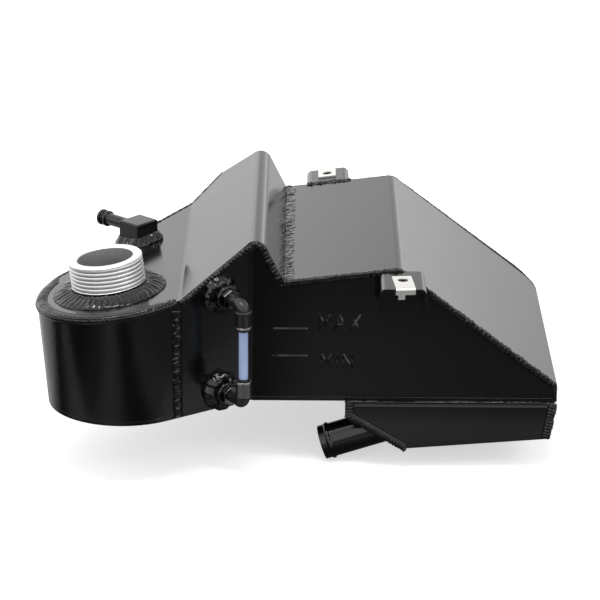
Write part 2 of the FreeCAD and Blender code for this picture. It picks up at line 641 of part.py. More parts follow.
# Lower box: a tray under the right chamber, proud of the near face, with a slanted left side
sump = newBody("sump_tray")
profile = newSketch(sump, "sumpSection", "XZ_Plane")
profile.setExpression("AttachmentOffset.Base.z", "Sizes.sumpProud")
slant = "(atan((Sizes.sumpDeep - Sizes.sumpStep) / (Sizes.sumpDeepPlace - Sizes.sumpLeft)))"
rise = f"(atan((Sizes.sumpDeep - Sizes.sumpShallow) / ({sumpFoot} - Sizes.sumpDeepPlace)))"
polygon(profile, [
    ("Sizes.sumpLeft", "Sizes.sumpLip"),
    ("Sizes.sumpLeft", "-Sizes.sumpStep"),
    ("Sizes.sumpDeepPlace", "-Sizes.sumpDeep"),
    (sumpFoot, "-Sizes.sumpShallow"),
    (sumpRight, "Sizes.sumpLip"),
])
pad(sump, "sumpBlock", profile, "Sizes.sumpDepth + Sizes.sumpProud", reverse=True)
above = newSketch(sump, "sumpTopLevel", "XZ_Plane")
polygon(above, [("0", "0"), (clear, "0"), (clear, "Sizes.sumpDeep"), ("0", "Sizes.sumpDeep")])
level = pocket(sump, "sumpTop", above, "Sizes.sumpDepth * 2")
rounded = roundEdges(sump, "sumpLipRound", level, "Sizes.sumpRound",
                     lambda edge: all(near(vertex.Z, size("sumpLip")) and near(vertex.Y, -size("sumpProud"))
                                      for vertex in edge.Vertexes))
inside = newSketch(sump, "sumpInside", "XZ_Plane")
inside.setExpression("AttachmentOffset.Base.z", f"Sizes.sumpProud - {thick}")
cornerMean = f"(({rise} - {slant}) / 2)"
cornerHalf = f"(({rise} + {slant}) / 2)"
polygon(inside, [
    (f"Sizes.sumpLeft + {thick}", f"Sizes.sumpLip - {thick}"),
    (f"Sizes.sumpLeft + {thick}", f"-Sizes.sumpStep - {thick} * tan({slant}) + {thick} / cos({slant})"),
    (f"Sizes.sumpDeepPlace - {thick} * sin{cornerMean} / cos{cornerHalf}",
     f"-Sizes.sumpDeep + {thick} * cos{cornerMean} / cos{cornerHalf}"),
    (f"{sumpFoot} - {thick}", f"-Sizes.sumpShallow - {thick} * tan({rise}) + {thick} / cos({rise})"),
    (f"{sumpFoot} - {thick}", f"Sizes.sumpLip - {thick}"),
])
pocket(sump, "sumpHollow", inside, f"Sizes.sumpDepth + Sizes.sumpProud - 2 * {thick}")
port = newSketch(sump, "sumpPort", "XY_Plane")
polygon(port, [(openLeft, thick), (openRight, thick), (openRight, openBack), (openLeft, openBack)])
pocket(sump, "sumpMouth", port, thick)

# The outlet's hole runs along the pipe's tilted axis
outletX = "Sizes.outletEndPlace"
outletZ = "-Sizes.outletEndDrop"
hole = newSketch(sump, "outletCircle", "YZ_Plane")
hole.AttachmentOffset = Placement(Vector(), Rotation(Vector(-1, 0, 0), 1))
hole.setExpression("AttachmentOffset.Rotation.Angle", "Sizes.outletTilt")
hole.setExpression("AttachmentOffset.Base.z", outletX)
hole.setExpression("AttachmentOffset.Base.x", "Sizes.outletSide")
hole.setExpression("AttachmentOffset.Base.y", outletZ)
circle(hole, "0", "0", "Sizes.outletOuter + 2 * Sizes.drillGap")
pocket(sump, "outletHole", hole, "Sizes.outletLength + 2 * Sizes.sheetThick", reverse=True)
put(sump)

# Outlet pipe: turned, with a rolled bead near its end, its axis running down to the left
outlet = newBody("outlet_pipe")
profile = newSketch(outlet, "outletSection", "XZ_Plane")
outletRadius = "Sizes.outletOuter / 2"
outletInner = "(Sizes.outletOuter / 2 - Sizes.outletWall)"
beadRadius = f"{outletRadius} + Sizes.outletBead"
polygon(profile, [
    ("0", outletInner),
    ("Sizes.outletLength", outletInner),
    ("Sizes.outletLength", outletRadius),
    ("Sizes.outletBeadBack + Sizes.outletBeadFoot / 2", outletRadius),
    ("Sizes.outletBeadBack + Sizes.outletBeadTop / 2", beadRadius),
    ("Sizes.outletBeadBack - Sizes.outletBeadTop / 2", beadRadius),
    ("Sizes.outletBeadBack - Sizes.outletBeadFoot / 2", outletRadius),
    ("0", outletRadius),
])
revolve(outlet, "outletTube", profile, "H_Axis")
leanAxis = Vector(0, -1, 0)
put(outlet, outletX, "Sizes.outletSide", outletZ, leanAxis, "Sizes.outletTilt")

# Filler neck: turned from bar, with a flange on the plate and a spigot in the plate's hole
neck = newBody("filler_neck")
profile = newSketch(neck, "neckSection", "XZ_Plane")
boreRadius = "Sizes.neckBore / 2"
threadRadius = "Sizes.neckOuter / 2"
reliefRadius = f"({threadRadius} - Sizes.neckUndercut)"
polygon(profile, [
    (boreRadius, f"-{thick}"),
    (f"{neckSpigotOuter} / 2", f"-{thick}"),
    (f"{neckSpigotOuter} / 2", "0"),
    ("Sizes.neckFlange / 2", "0"),
    ("Sizes.neckFlange / 2", "Sizes.neckFlangeThick - Sizes.neckEdge"),
    ("Sizes.neckFlange / 2 - Sizes.neckEdge", "Sizes.neckFlangeThick"),
    (reliefRadius, "Sizes.neckFlangeThick"),
    (reliefRadius, "Sizes.neckFlangeThick + Sizes.neckRelief"),
    (threadRadius, "Sizes.neckFlangeThick + Sizes.neckRelief + Sizes.neckUndercut"),
    (threadRadius, "Sizes.neckHeight - Sizes.neckEdge"),
    (f"{threadRadius} - Sizes.neckEdge", "Sizes.neckHeight"),
    (f"{boreRadius} + Sizes.neckEdge", "Sizes.neckHeight"),
    (boreRadius, "Sizes.neckHeight - Sizes.neckEdge"),
])
revolve(neck, "neckTurning", profile, "V_Axis")
put(neck, "-Sizes.neckPlace", "Sizes.neckSide", neckZ, leanAxis, tilt)


def crowned(sketch, corner, first, second):
    """A weld's section: two legs from a corner, closed by flats over a crest beyond its chord."""
    chordX, chordY = (f"(({second[step]}) - ({first[step]}))" for step in (0, 1))
    length = f"sqrt({chordX} ^ 2 + {chordY} ^ 2)"
    middleX, middleY = (f"((({first[step]}) + ({second[step]})) / 2)" for step in (0, 1))
    way = value(f"{chordY} * ({middleX} - ({corner[0]})) - {chordX} * ({middleY} - ({corner[1]}))")
    sign = "" if way > 0 else "-"
    crest = (f"{middleX} + {sign}Sizes.weldCrest * {chordY} / {length}",
             f"{middleY} - {sign}Sizes.weldCrest * {chordX} / {length}")
    polygon(sketch, [corner, first, crest, second])


def value(expression):
    return float(sheet.evalExpression(expression))


# Weld ring round the neck
weld = newBody("neck_weld")
profile = newSketch(weld, "neckWeldSection", "XZ_Plane")
crowned(profile, ("Sizes.neckFlange / 2", "0"), ("Sizes.neckWeldOuter / 2", "0"),
        ("Sizes.neckFlange / 2", "Sizes.neckWeldHeight"))
revolve(weld, "neckWeldRing", profile, "V_Axis")
put(weld, "-Sizes.neckPlace", "Sizes.neckSide", neckZ, leanAxis, tilt)

# Vent block on the left top, turned, with a nipple that points away to the far left
alongX = "(-cos(Sizes.ventTurn))"
alongY = "sin(Sizes.ventTurn)"


def turnedBox(sketch, length, width):
    """A rectangle whose length runs along the nipple."""
    corners = []
    for longSide, shortSide in (("", ""), ("-", ""), ("-", "-"), ("", "-")):
        run = f"{longSide}({length}) / 2"
        cross = f"{shortSide}({width}) / 2"
        corners.append((f"{run} * {alongX} + {cross} * {alongY}", f"{run} * {alongY} - {cross} * {alongX}"))
    polygon(sketch, corners)


def cutToPlate(body):
    """Cuts a piece that stands upright on the left top to the tilt of that plate."""
    sketch = newSketch(body, body.Label + "Seat", "XZ_Plane")
    drop = f"{clear} * tan({tilt})"
    polygon(sketch, [(clear, drop), (f"-{clear}", f"-{drop}"), (f"-{clear}", f"-{clear}"), (clear, f"-{clear}")])
    return pocket(body, body.Label + "PlateCut", sketch, f"{clear} * 2", both=True)


def acrossVent(body, name, level):
    """A sketch square to the nipple's axis, through the middle of the block."""
    sketch = newSketch(body, name, "XZ_Plane")
    sketch.AttachmentOffset = Placement(Vector(), Rotation(Vector(0, -1, 0), 1))
    sketch.setExpression("AttachmentOffset.Rotation.Angle", "90 + Sizes.ventTurn")
    sketch.setExpression("AttachmentOffset.Base.y", level)
    return sketch


vent = newBody("vent_block")
profile = newSketch(vent, "ventOutline", "XY_Plane")
turnedBox(profile, "Sizes.ventLength", "Sizes.ventWidth")
profile.setExpression("AttachmentOffset.Base.z", "-Sizes.ventHeight")
block = pad(vent, "ventBlank", profile, "Sizes.ventHeight * 2")
doc.recompute()
bevel = vent.newObject("PartDesign::Chamfer", "ventBevel")
bevel.Base = (block, [f"Edge{number}" for number, edge in enumerate(block.Shape.Edges, start=1)
                      if all(near(vertex.Z, size("ventHeight")) for vertex in edge.Vertexes)])
bevel.setExpression("Size", "Sizes.ventBevel")
cutToPlate(vent)
drilling = newSketch(vent, "ventRise", "XY_Plane")
drilling.setExpression("AttachmentOffset.Base.z", "Sizes.ventLevel")
circle(drilling, "0", "0", "Sizes.ventBore")
pocket(vent, "ventRiseHole", drilling, "Sizes.ventLevel * 2")
drilling = acrossVent(vent, "ventRun", "Sizes.ventLevel")
circle(drilling, "0", "0", "Sizes.ventBore")
pocket(vent, "ventRunHole", drilling, "Sizes.ventLength / 2", reverse=True)
drilling = acrossVent(vent, "ventSeat", "Sizes.ventLevel")
seatBack = "(Sizes.ventLength / 2 - Sizes.nippleSpigot)"
drilling.setExpression("AttachmentOffset.Base.x", f"{seatBack} * {alongX}")
drilling.setExpression("AttachmentOffset.Base.z", f"-{seatBack} * {alongY}")
circle(drilling, "0", "0", "Sizes.nippleSpigot + 2 * Sizes.drillGap")
pocket(vent, "ventSeatHole", drilling, "Sizes.nippleSpigot", reverse=True)
put(vent, "-Sizes.ventPlace", "Sizes.ventSide", ventZ)

nipple = newBody("vent_nipple")
profile = newSketch(nipple, "nippleSection", "XZ_Plane")
profile.AttachmentOffset = Placement(Vector(), Rotation(Vector(0, 1, 0), 1))
profile.setExpression("AttachmentOffset.Rotation.Angle", "180 - Sizes.ventTurn")
profile.setExpression("AttachmentOffset.Base.y", "Sizes.ventLevel")
nippleBack = "(Sizes.ventLength / 2)"
nippleTip = f"({nippleBack} + Sizes.nippleLength)"
nippleRadius = "Sizes.nippleOuter / 2"
crest = f"({nippleRadius} + Sizes.nippleBead)"
outline = [
    (f"{nippleBack} - Sizes.nippleSpigot", "Sizes.ventBore / 2"),
    (f"{nippleBack} - Sizes.nippleSpigot", "Sizes.nippleSpigot / 2"),
    (nippleBack, "Sizes.nippleSpigot / 2"),
    (nippleBack, nippleRadius),
]
for number in (1, 0):
    root = f"({nippleTip} - {number} * Sizes.nipplePitch)"
    outline += [
        (f"{root} - Sizes.nipplePitch * .75", nippleRadius),
        (f"{root} - Sizes.nipplePitch * .65", crest),
        (f"{root} - Sizes.nipplePitch * .35", crest),
        (root if number else f"{root} - Sizes.nipplePitch * .1", nippleRadius),
    ]
outline += [(nippleTip, f"{nippleRadius} - Sizes.nipplePitch * .1"), (nippleTip, "Sizes.ventBore / 2")]
polygon(profile, outline)
revolve(nipple, "nippleTurning", profile, "H_Axis")
put(nipple, "-Sizes.ventPlace", "Sizes.ventSide", ventZ)

weld = newBody("vent_weld")
profile = newSketch(weld, "ventWeldOutline", "XY_Plane")
profile.setExpression("AttachmentOffset.Base.z", "-Sizes.ventWeldHeight")
doubleWeld = "4 * Sizes.ventWeld"
turnedBox(profile, f"Sizes.ventLength + {doubleWeld}", f"Sizes.ventWidth + {doubleWeld}")
skirt = pad(weld, "ventWeldSkirt", profile, "2 * Sizes.ventWeldHeight")
skirt.setExpression("TaperAngle", "-atan(Sizes.ventWeld / Sizes.ventWeldHeight)")
profile = newSketch(weld, "ventWeldInside", "XY_Plane")
turnedBox(profile, "Sizes.ventLength", "Sizes.ventWidth")
pocket(weld, "ventWeldOpening", profile, "Sizes.ventWeldHeight * 4", both=True)
cutToPlate(weld)
put(weld, "-Sizes.ventPlace", "Sizes.ventSide", ventZ)

# Sight gauge: each end has a weld-in bung, a hexagon stud and a push-fit elbow, and a clear tube
# runs between the elbows. The lower end mirrors the upper one.
turnAxis = Vector(0, 0, 1)
studFront = "(Sizes.bungHeight + Sizes.studHexThick)"
legLength = f"(Sizes.gaugeReach - {studFront})"
socketFace = "(Sizes.gaugeLeg - Sizes.ringThick)"
shoulder = f"({socketFace} - Sizes.elbowSocket + Sizes.ringThick)"
colletBore = "(Sizes.colletOuter + 2 * Sizes.colletGap)"
ringBore = "(Sizes.colletHead + 2 * Sizes.colletGap)"
colletRoom = f"({socketFace} - Sizes.colletSleeve - Sizes.colletTravel - Sizes.colletGap)"
sealRoom = f"({colletRoom} - Sizes.sealThick)"
seatEnd = "(Sizes.gaugeLeg - Sizes.tubeSeat)"


def washer(body, name, outer, bore, low, high):
    """A plain turned ring about the vertical axis, between two levels."""
    sketch = newSketch(body, name + "Section", "XZ_Plane")
    polygon(sketch, [(f"{bore} / 2", low), (f"{outer} / 2", low), (f"{outer} / 2", high), (f"{bore} / 2", high)])
    return revolve(body, name, sketch, "V_Axis")


for side, level, way in (("upper", "Sizes.gaugeUpper", "-1"), ("lower", "Sizes.gaugeLower", "1")):
    bung = newBody(side + "_bung")
    profile = newSketch(bung, side + "BungSection", "XY_Plane")
    polygon(profile, [
        ("Sizes.bungBore / 2", "0"),
        ("Sizes.bungOuter / 2", "0"),
        ("Sizes.bungOuter / 2", "-Sizes.bungHeight + Sizes.neckEdge"),
        ("Sizes.bungOuter / 2 - Sizes.neckEdge", "-Sizes.bungHeight"),
        ("Sizes.bungBore / 2", "-Sizes.bungHeight"),
    ])
    revolve(bung, side + "BungTurning", profile, "V_Axis")
    put(bung, footX, footY, level, turnAxis, "Sizes.wallAngle")

    weld = newBody(side + "_bung_weld")
    profile = newSketch(weld, side + "BungWeldSection", "XY_Plane")
    crowned(profile, ("Sizes.bungOuter / 2", "0"), ("Sizes.bungOuter / 2 + Sizes.bungWeld", "0"),
            ("Sizes.bungOuter / 2", "-Sizes.bungWeld"))
    revolve(weld, side + "BungWeldRing", profile, "V_Axis")
    put(weld, footX, footY, level, turnAxis, "Sizes.wallAngle")

    stud = newBody(side + "_stud")
    profile = newSketch(stud, side + "StudHexagon", "XZ_Plane")
    profile.setExpression("AttachmentOffset.Base.z", "Sizes.bungHeight")
    flat = "Sizes.studHex / 2"
    point = "Sizes.studHex / sqrt(3)"
    polygon(profile, [
        ("0", point), (flat, f"{point} / 2"), (flat, f"-{point} / 2"),
        ("0", f"-{point}"), (f"-{flat}", f"-{point} / 2"), (f"-{flat}", f"{point} / 2"),
    ])
    pad(stud, side + "StudHead", profile, "Sizes.studHexThick")
    profile = newSketch(stud, side + "StudSection", "XY_Plane")
    polygon(profile, [
        ("Sizes.studBore / 2", "Sizes.studThreadLength - Sizes.bungHeight"),
        ("Sizes.bungBore / 2 - Sizes.threadGap", "Sizes.studThreadLength - Sizes.bungHeight"),
        ("Sizes.bungBore / 2 - Sizes.threadGap", "-Sizes.bungHeight"),
        ("Sizes.bungBore / 2 - Sizes.threadGap", f"-{studFront}"),
        ("Sizes.studStem / 2", f"-{studFront}"),
        ("Sizes.studStem / 2", f"-{studFront} - Sizes.studStemLength"),
        ("Sizes.studBore / 2", f"-{studFront} - Sizes.studStemLength"),
    ])
    revolve(stud, side + "StudTurning", profile, "V_Axis")
    drilling = newSketch(stud, side + "StudCircle", "XZ_Plane")
    circle(drilling, "0", "0", "Sizes.studBore")
    pocket(stud, side + "StudHole", drilling, f"{studFront} * 4", both=True)
    put(stud, footX, footY, level, turnAxis, "Sizes.wallAngle")

    elbow = newBody(side + "_elbow")
    section = newSketch(elbow, side + "ElbowLegCircle", "XZ_Plane")
    section.setExpression("AttachmentOffset.Base.z", f"-{legLength}")
    circle(section, "0", "0", "Sizes.elbowLeg")
    pad(elbow, side + "ElbowLeg", section, f"{legLength} - Sizes.elbowBend")
    section = newSketch(elbow, side + "ElbowBendCircle", "XZ_Plane")
    section.setExpression("AttachmentOffset.Base.z", "-Sizes.elbowBend")
    circle(section, "0", "0", "Sizes.elbowLeg")
    turn = section.addGeometry(Part.LineSegment(Vector(-1, float(way), 0), Vector(1, float(way), 0)), True)
    section.addConstraint(Sketcher.Constraint("Horizontal", turn))
    drive(section, "DistanceY", (-1, 1, turn, 1), f"{way} * Sizes.elbowBend", float(way))
    bend = elbow.newObject("PartDesign::Revolution", side + "ElbowBend")
    bend.Profile = section
    bend.ReferenceAxis = (section, ["Axis0"])
    bend.Angle = 90
    bend.Reversed = side == "upper"
    profile = newSketch(elbow, side + "ElbowSocketSection", "XZ_Plane")
    polygon(profile, [
        ("0", f"{way} * Sizes.elbowBend"),
        ("Sizes.elbowLeg / 2", f"{way} * Sizes.elbowBend"),
        ("Sizes.elbowLeg / 2", f"{way} * ({shoulder} - Sizes.elbowCollarThick)"),
        ("Sizes.elbowCollar / 2", f"{way} * ({shoulder} - Sizes.elbowCollarThick)"),
        ("Sizes.elbowCollar / 2", f"{way} * {shoulder}"),
        ("Sizes.elbowBody / 2", f"{way} * {shoulder}"),
        ("Sizes.elbowBody / 2", f"{way} * {socketFace}"),
        ("0", f"{way} * {socketFace}"),
    ])
    revolve(elbow, side + "ElbowSocket", profile, "V_Axis")
    for plane, name in (("XZ_Plane", "Waterway"), ("XY_Plane", "Riser")):
        drilling = newSketch(elbow, side + name + "Circle", plane)
        circle(drilling, "0", "0", "Sizes.elbowBore")
        pocket(elbow, side + name, drilling, legLength if plane == "XZ_Plane" else seatEnd,
               reverse=plane == "XZ_Plane" or side == "lower")
    drilling = newSketch(elbow, side + "StemCircle", "XZ_Plane")
    drilling.setExpression("AttachmentOffset.Base.z", f"-{legLength}")
    circle(drilling, "0", "0", "Sizes.studStem + 2 * Sizes.threadGap")
    pocket(elbow, side + "StemSeat", drilling, "Sizes.studStemLength + Sizes.threadGap", reverse=True)
    profile = newSketch(elbow, side + "SocketBoreSection", "XZ_Plane")
    tubeRadius = "(Sizes.tubeOuter / 2 + Sizes.tubeGap)"
    polygon(profile, [
        ("0", f"{way} * {seatEnd}"),
        (tubeRadius, f"{way} * {seatEnd}"),
        (tubeRadius, f"{way} * {sealRoom}"),
        (f"{colletBore} / 2", f"{way} * {sealRoom}"),
        (f"{colletBore} / 2", f"{way} * Sizes.gaugeLeg"),
        ("0", f"{way} * Sizes.gaugeLeg"),
    ])
    bore = elbow.newObject("PartDesign::Groove", side + "SocketBore")
    bore.Profile = profile
    bore.ReferenceAxis = (profile, ["V_Axis"])
    bore.Angle = 360
    put(elbow, tubeX, tubeY, level, turnAxis, "Sizes.wallAngle")

    ring = newBody(side + "_end_ring")
    washer(ring, side + "EndRing", "Sizes.ringOuter", ringBore, f"{way} * {socketFace}", f"{way} * Sizes.gaugeLeg")
    put(ring, tubeX, tubeY, level, turnAxis, "Sizes.wallAngle")

    collet = newBody(side + "_release_ring")
    profile = newSketch(collet, side + "ColletSection", "XZ_Plane")
    colletInner = "(Sizes.tubeOuter / 2 + Sizes.colletGap)"
    polygon(profile, [
        (colletInner, f"{way} * ({socketFace} - Sizes.colletSleeve)"),
        ("Sizes.colletOuter / 2", f"{way} * ({socketFace} - Sizes.colletSleeve)"),
        ("Sizes.colletOuter / 2", f"{way} * Sizes.gaugeLeg"),
        ("Sizes.colletHead / 2", f"{way} * Sizes.gaugeLeg"),
        ("Sizes.colletHead / 2", f"{way} * (Sizes.gaugeLeg + Sizes.colletProud)"),
        (colletInner, f"{way} * (Sizes.gaugeLeg + Sizes.colletProud)"),
    ])
    revolve(collet, side + "ColletTurning", profile, "V_Axis")
    put(collet, tubeX, tubeY, level, turnAxis, "Sizes.wallAngle")

    seal = newBody(side + "_o_ring")
    profile = newSketch(seal, side + "SealSection", "XZ_Plane")
    sealMiddle = f"({sealRoom} + Sizes.sealThick / 2)"
    sealFlat = "(Sizes.sealThick / 2 * tan(22.5))"
    half = "Sizes.sealThick / 2"
    corners = [(half, sealFlat), (sealFlat, half), (f"-{sealFlat}", half), (f"-{half}", sealFlat),
               (f"-{half}", f"-{sealFlat}"), (f"-{sealFlat}", f"-{half}"), (sealFlat, f"-{half}"),
               (half, f"-{sealFlat}")]
    polygon(profile, [(f"(Sizes.tubeOuter + Sizes.sealThick) / 2 + {out}", f"{way} * ({sealMiddle} + {up})")
                      for out, up in corners])
    revolve(seal, side + "SealRing", profile, "V_Axis")
    put(seal, tubeX, tubeY, level, turnAxis, "Sizes.wallAngle")

tube = newBody("sight_tube")
washer(tube, "sightTube", "Sizes.tubeOuter", "Sizes.tubeBore", f"Sizes.gaugeLower + {seatEnd}",
       f"Sizes.gaugeUpper - {seatEnd}")
put(tube, tubeX, tubeY, "0", turnAxis, "Sizes.wallAngle")

# Fixing brackets: an inverted channel welded to a wall, with a spring clip nut over its free edge
for side, way, place in (("near", "-1", "Sizes.bracketPlace"), ("far", "1", "Sizes.farBracketPlace")):
    bracket = newBody(side + "_bracket")
    profile = newSketch(bracket, side + "BracketSection", "XZ_Plane")
    half = "Sizes.bracketWidth / 2"
    web = "Sizes.bracketThick"
    polygon(profile, [
        (f"-{half}", "0"),
        (half, "0"),
        (half, "-Sizes.bracketDrop"),
        (f"{half} - {web}", "-Sizes.bracketDrop"),
        (f"{half} - {web}", f"-{web}"),
        (f"-{half} + {web}", f"-{web}"),
        (f"-{half} + {web}", "-Sizes.bracketDrop"),
        (f"-{half}", "-Sizes.bracketDrop"),
    ])
    channel = pad(bracket, side + "BracketSheet", profile, "Sizes.bracketReach", reverse=side == "far")
    halfWidth = size("bracketWidth") / 2
    outer = roundEdges(bracket, side + "BracketBends", channel, "Sizes.bracketBend",
                       lambda edge: lengthwise(edge, halfWidth, 0) or lengthwise(edge, -halfWidth, 0))
    web = size("bracketThick")
    roundEdges(bracket, side + "BracketInnerBends", outer, "Sizes.bracketBend - Sizes.bracketThick",
               lambda edge: lengthwise(edge, halfWidth - web, -web) or lengthwise(edge, web - halfWidth, -web))
    drilling = newSketch(bracket, side + "BracketCircle", "XY_Plane")
    circle(drilling, "0", f"{way} * (Sizes.bracketReach - Sizes.clipBack)", "Sizes.bracketHole")
    pocket(bracket, side + "BracketHole", drilling, "Sizes.bracketThick * 4", both=True)

    clip = newBody(side + "_clip_nut")
    profile = newSketch(clip, side + "ClipSection", "YZ_Plane")
    gapTop = "(Sizes.clipThick + 2 * Sizes.clipSpare + Sizes.bracketThick)"
    front = "(Sizes.clipBack + Sizes.clipSlack + Sizes.clipThick)"
    rear = f"({front} - Sizes.clipLength)"
    polygon(profile, [
        (f"{way} * {rear}", "0"),
        (f"{way} * {front}", "0"),
        (f"{way} * {front}", f"{gapTop} + Sizes.clipThick"),
        (f"{way} * {rear}", f"{gapTop} + Sizes.clipThick"),
        (f"{way} * {rear}", gapTop),
        (f"{way} * ({front} - Sizes.clipThick)", gapTop),
        (f"{way} * ({front} - Sizes.clipThick)", "Sizes.clipThick"),
        (f"{way} * {rear}", "Sizes.clipThick"),
    ])
    leaves = pad(clip, side + "ClipLeaves", profile, "Sizes.clipWidth", both=True)
    clipFront = float(way) * value(front)
    clipTop = value(f"{gapTop} + Sizes.clipThick")
    folded = roundEdges(clip, side + "ClipFold", leaves, "Sizes.clipFold",
                        lambda edge: all(near(vertex.Y, clipFront) for vertex in edge.Vertexes)
                        and (all(near(vertex.Z, 0) for vertex in edge.Vertexes)
                             or all(near(vertex.Z, clipTop) for vertex in edge.Vertexes)))
    profile = newSketch(clip, side + "ClipTabOutline", "XZ_Plane")
    profile.setExpression("AttachmentOffset.Base.z", f"-({way}) * ({front} - Sizes.clipThick)")
    polygon(profile, [
        ("-Sizes.clipTabSide", "Sizes.clipFold"),
        ("-Sizes.clipTabSide + Sizes.clipTab", "Sizes.clipFold"),
        ("-Sizes.clipTabSide + Sizes.clipTab", "Sizes.clipFold - Sizes.clipTab"),
        ("-Sizes.clipTabSide", "Sizes.clipFold - Sizes.clipTab"),
    ])
    pad(clip, side + "ClipTab", profile, "Sizes.clipThick", reverse=side == "far")
    collar = newSketch(clip, side + "ClipCollarCircle", "XY_Plane")
    circle(collar, "0", "0", "Sizes.clipBarrel")
    pad(clip, side + "ClipCollar", collar, "Sizes.clipBarrelHeight", reverse=True)
    drilling = newSketch(clip, side + "ClipThreadCircle", "XY_Plane")
    circle(drilling, "0", "0", "Sizes.clipThread")
    pocket(clip, side + "ClipThread", drilling, "Sizes.clipBarrelHeight * 4", both=True)
    drilling = newSketch(clip, side + "ClipHoleCircle", "XY_Plane")
    drilling.setExpression("AttachmentOffset.Base.z", "Sizes.clipThick + Sizes.clipSpare")
    circle(drilling, "0", "0", "Sizes.clipHole")
    pocket(clip, side + "ClipHole", drilling, "Sizes.clipBarrelHeight * 2", reverse=True)
    clipDrop = "(Sizes.bracketThick + Sizes.clipSpare + Sizes.clipThick)"
    if side == "near":
        put(bracket, place, "0", "Sizes.bracketLevel")
        put(clip, place, "Sizes.clipBack - Sizes.bracketReach", f"Sizes.bracketLevel - {clipDrop}",
            turnAxis, "Sizes.clipTurn")
    else:
        farTop = (f"({valleyZ} + (Sizes.farBracketPlace - Sizes.valleyPlace) * tan({tilt})"
                  " - Sizes.farBracketSink)")
        put(bracket, place, "Sizes.tankDepth", farTop, leanAxis, tilt)
        put(clip, f"{place} + {clipDrop} * sin({tilt})",
            "Sizes.tankDepth + Sizes.bracketReach - Sizes.clipBack",
            f"{farTop} - {clipDrop} * cos({tilt})", leanAxis, tilt)

# Valley bead: from the steep face to the right top, along the whole valley
weld = newBody("valley_weld")
profile = newSketch(weld, "valleyWeldSection", "XZ_Plane")
profile.setExpression("AttachmentOffset.Base.z", "-Sizes.tankDepth")
crowned(profile, (valleyX, valleyZ),
        (f"{valleyX} + Sizes.valleyBead * cos({tilt})", f"{valleyZ} + Sizes.valleyBead * sin({tilt})"),
        (f"{valleyX} - Sizes.valleyBead * cos(Sizes.steepAngle)",
         f"{valleyZ} + Sizes.valleyBead * sin(Sizes.steepAngle)"))
pad(weld, "valleyWeldBar", profile, "Sizes.tankDepth")
put(weld)

# Front seam bead: a low crown on the angled wall, from the bottom up to the rim
weld = newBody("front_seam_weld")
profile = newSketch(weld, "seamWeldSection", "XY_Plane")
profile.AttachmentOffset = Placement(Vector(), Rotation(turnAxis, 1))
profile.setExpression("AttachmentOffset.Rotation.Angle", "Sizes.wallAngle")
half = size("seamBead") / 2
middle = -size("seamBack")
crest = Vector(middle, -size("seamCrown"), 0)
profile.addGeometry(Part.Arc(Vector(middle - half, 0, 0), crest, Vector(middle + half, 0, 0)), False)
profile.addGeometry(Part.LineSegment(Vector(middle + half, 0, 0), Vector(middle - half, 0, 0)), False)
pad(weld, "seamWeldBar", profile, f"{foldZ} - {thick}")
put(weld)

# The other beads are laid along the edges that they close
doc.recompute()
features = []


def simpler(edge):
    """The same edge as a straight line or a circle's arc."""
    points = [edge.valueAt(edge.FirstParameter + share * (edge.LastParameter - edge.FirstParameter))
              for share in (0, 0.5, 1)]
    if edge.Orientation == "Reversed":
        points.reverse()
    if edge.Curve.TypeId == "Part::GeomLine":
        return Part.LineSegment(points[0], points[2]).toShape()
    return Part.Arc(*points).toShape()


def addBead(label, weld, placement, joins):
    """Keeps a weld bead's main solid, cut back to the pieces that it joins."""
    for name in joins:
        piece = doc.getObject(name)
        shape = piece.Shape.copy()
        shape.Placement = placement.inverse().multiply(piece.Placement)
        weld = weld.cut(shape)
    feature = doc.addObject("Part::Feature", label)
    feature.Label = label
    feature.Shape = max(weld.Solids, key=lambda solid: solid.Volume)
    feature.Placement = placement
    features.append(feature)


def bead(label, source, wanted, reference, section, joins=()):
    """A weld bead swept along edges of a piece.

    Its section is drawn in steps across the upper face and down the side face, from the edge.
    """
    found = Part.sortEdges([edge for edge in source.Tip.Shape.Edges if wanted(edge)])
    path = Part.Wire([simpler(edge) for edge in max(found, key=len)])
    opening = path.OrderedEdges[0]
    start = path.OrderedVertexes[0].Point
    along = opening.tangentAt(opening.FirstParameter)
    if (opening.valueAt(opening.FirstParameter) - start).Length > 1e-6:
        along = opening.tangentAt(opening.LastParameter)
    sideNormal = reference.cross(along).normalize()
    if sideNormal.dot(source.Tip.Shape.BoundBox.Center - start) > 0:
        sideNormal = sideNormal.negative()
    topNormal = sideNormal.cross(along).normalize()
    if topNormal.dot(reference) < 0:
        topNormal = topNormal.negative()
    across = topNormal.cross(along).normalize()
    if across.dot(sideNormal) > 0:
        across = across.negative()
    down = sideNormal.cross(along).normalize()
    if down.dot(topNormal) > 0:
        down = down.negative()
    points = [start + across * step[0] + down * step[1] for step in section]
    weld = path.makePipe(Part.Face(Part.makePolygon(points + points[:1])))
    addBead(label, weld, source.Placement, joins)


def cornerSection(leg, crown):
    """A bead over a corner: flat on top and on the side, with its feet sunk in both faces."""
    sink = size("beadSink")
    flat = leg * size("beadFlat")
    return [(leg, sink), (flat, -crown), (crown / 2, -crown), (-crown, crown / 2), (-crown, flat),
            (sink, leg), (leg / 2, leg / 2)]


def sideSection(top, leg, crown):
    """A bead on the side of a corner, from below the upper sheet's edge down the wall."""
    sink = size("beadSink")
    return [(sink, top), (-crown, top + leg / 2), (-crown, top + leg * 3 / 2), (sink, top + 2 * leg)]


def roofEdge(start, end, farSide, height=roofHeight):
    """Chooses the outer edges of a top plate between two X places, on its near or its far side."""
    def wanted(edge):
        ends = [vertex.Point for vertex in edge.Vertexes]
        if len(ends) < 2 or near(ends[0].x, ends[1].x):
            return False
        if not all(abs(point.z - height(point.x)) < 0.7 for point in ends):
            return False
        if not all(start < point.x < end for point in ends):
            return False
        return all((point.y > size("tankDepth") / 2) == farSide for point in ends)
    return wanted


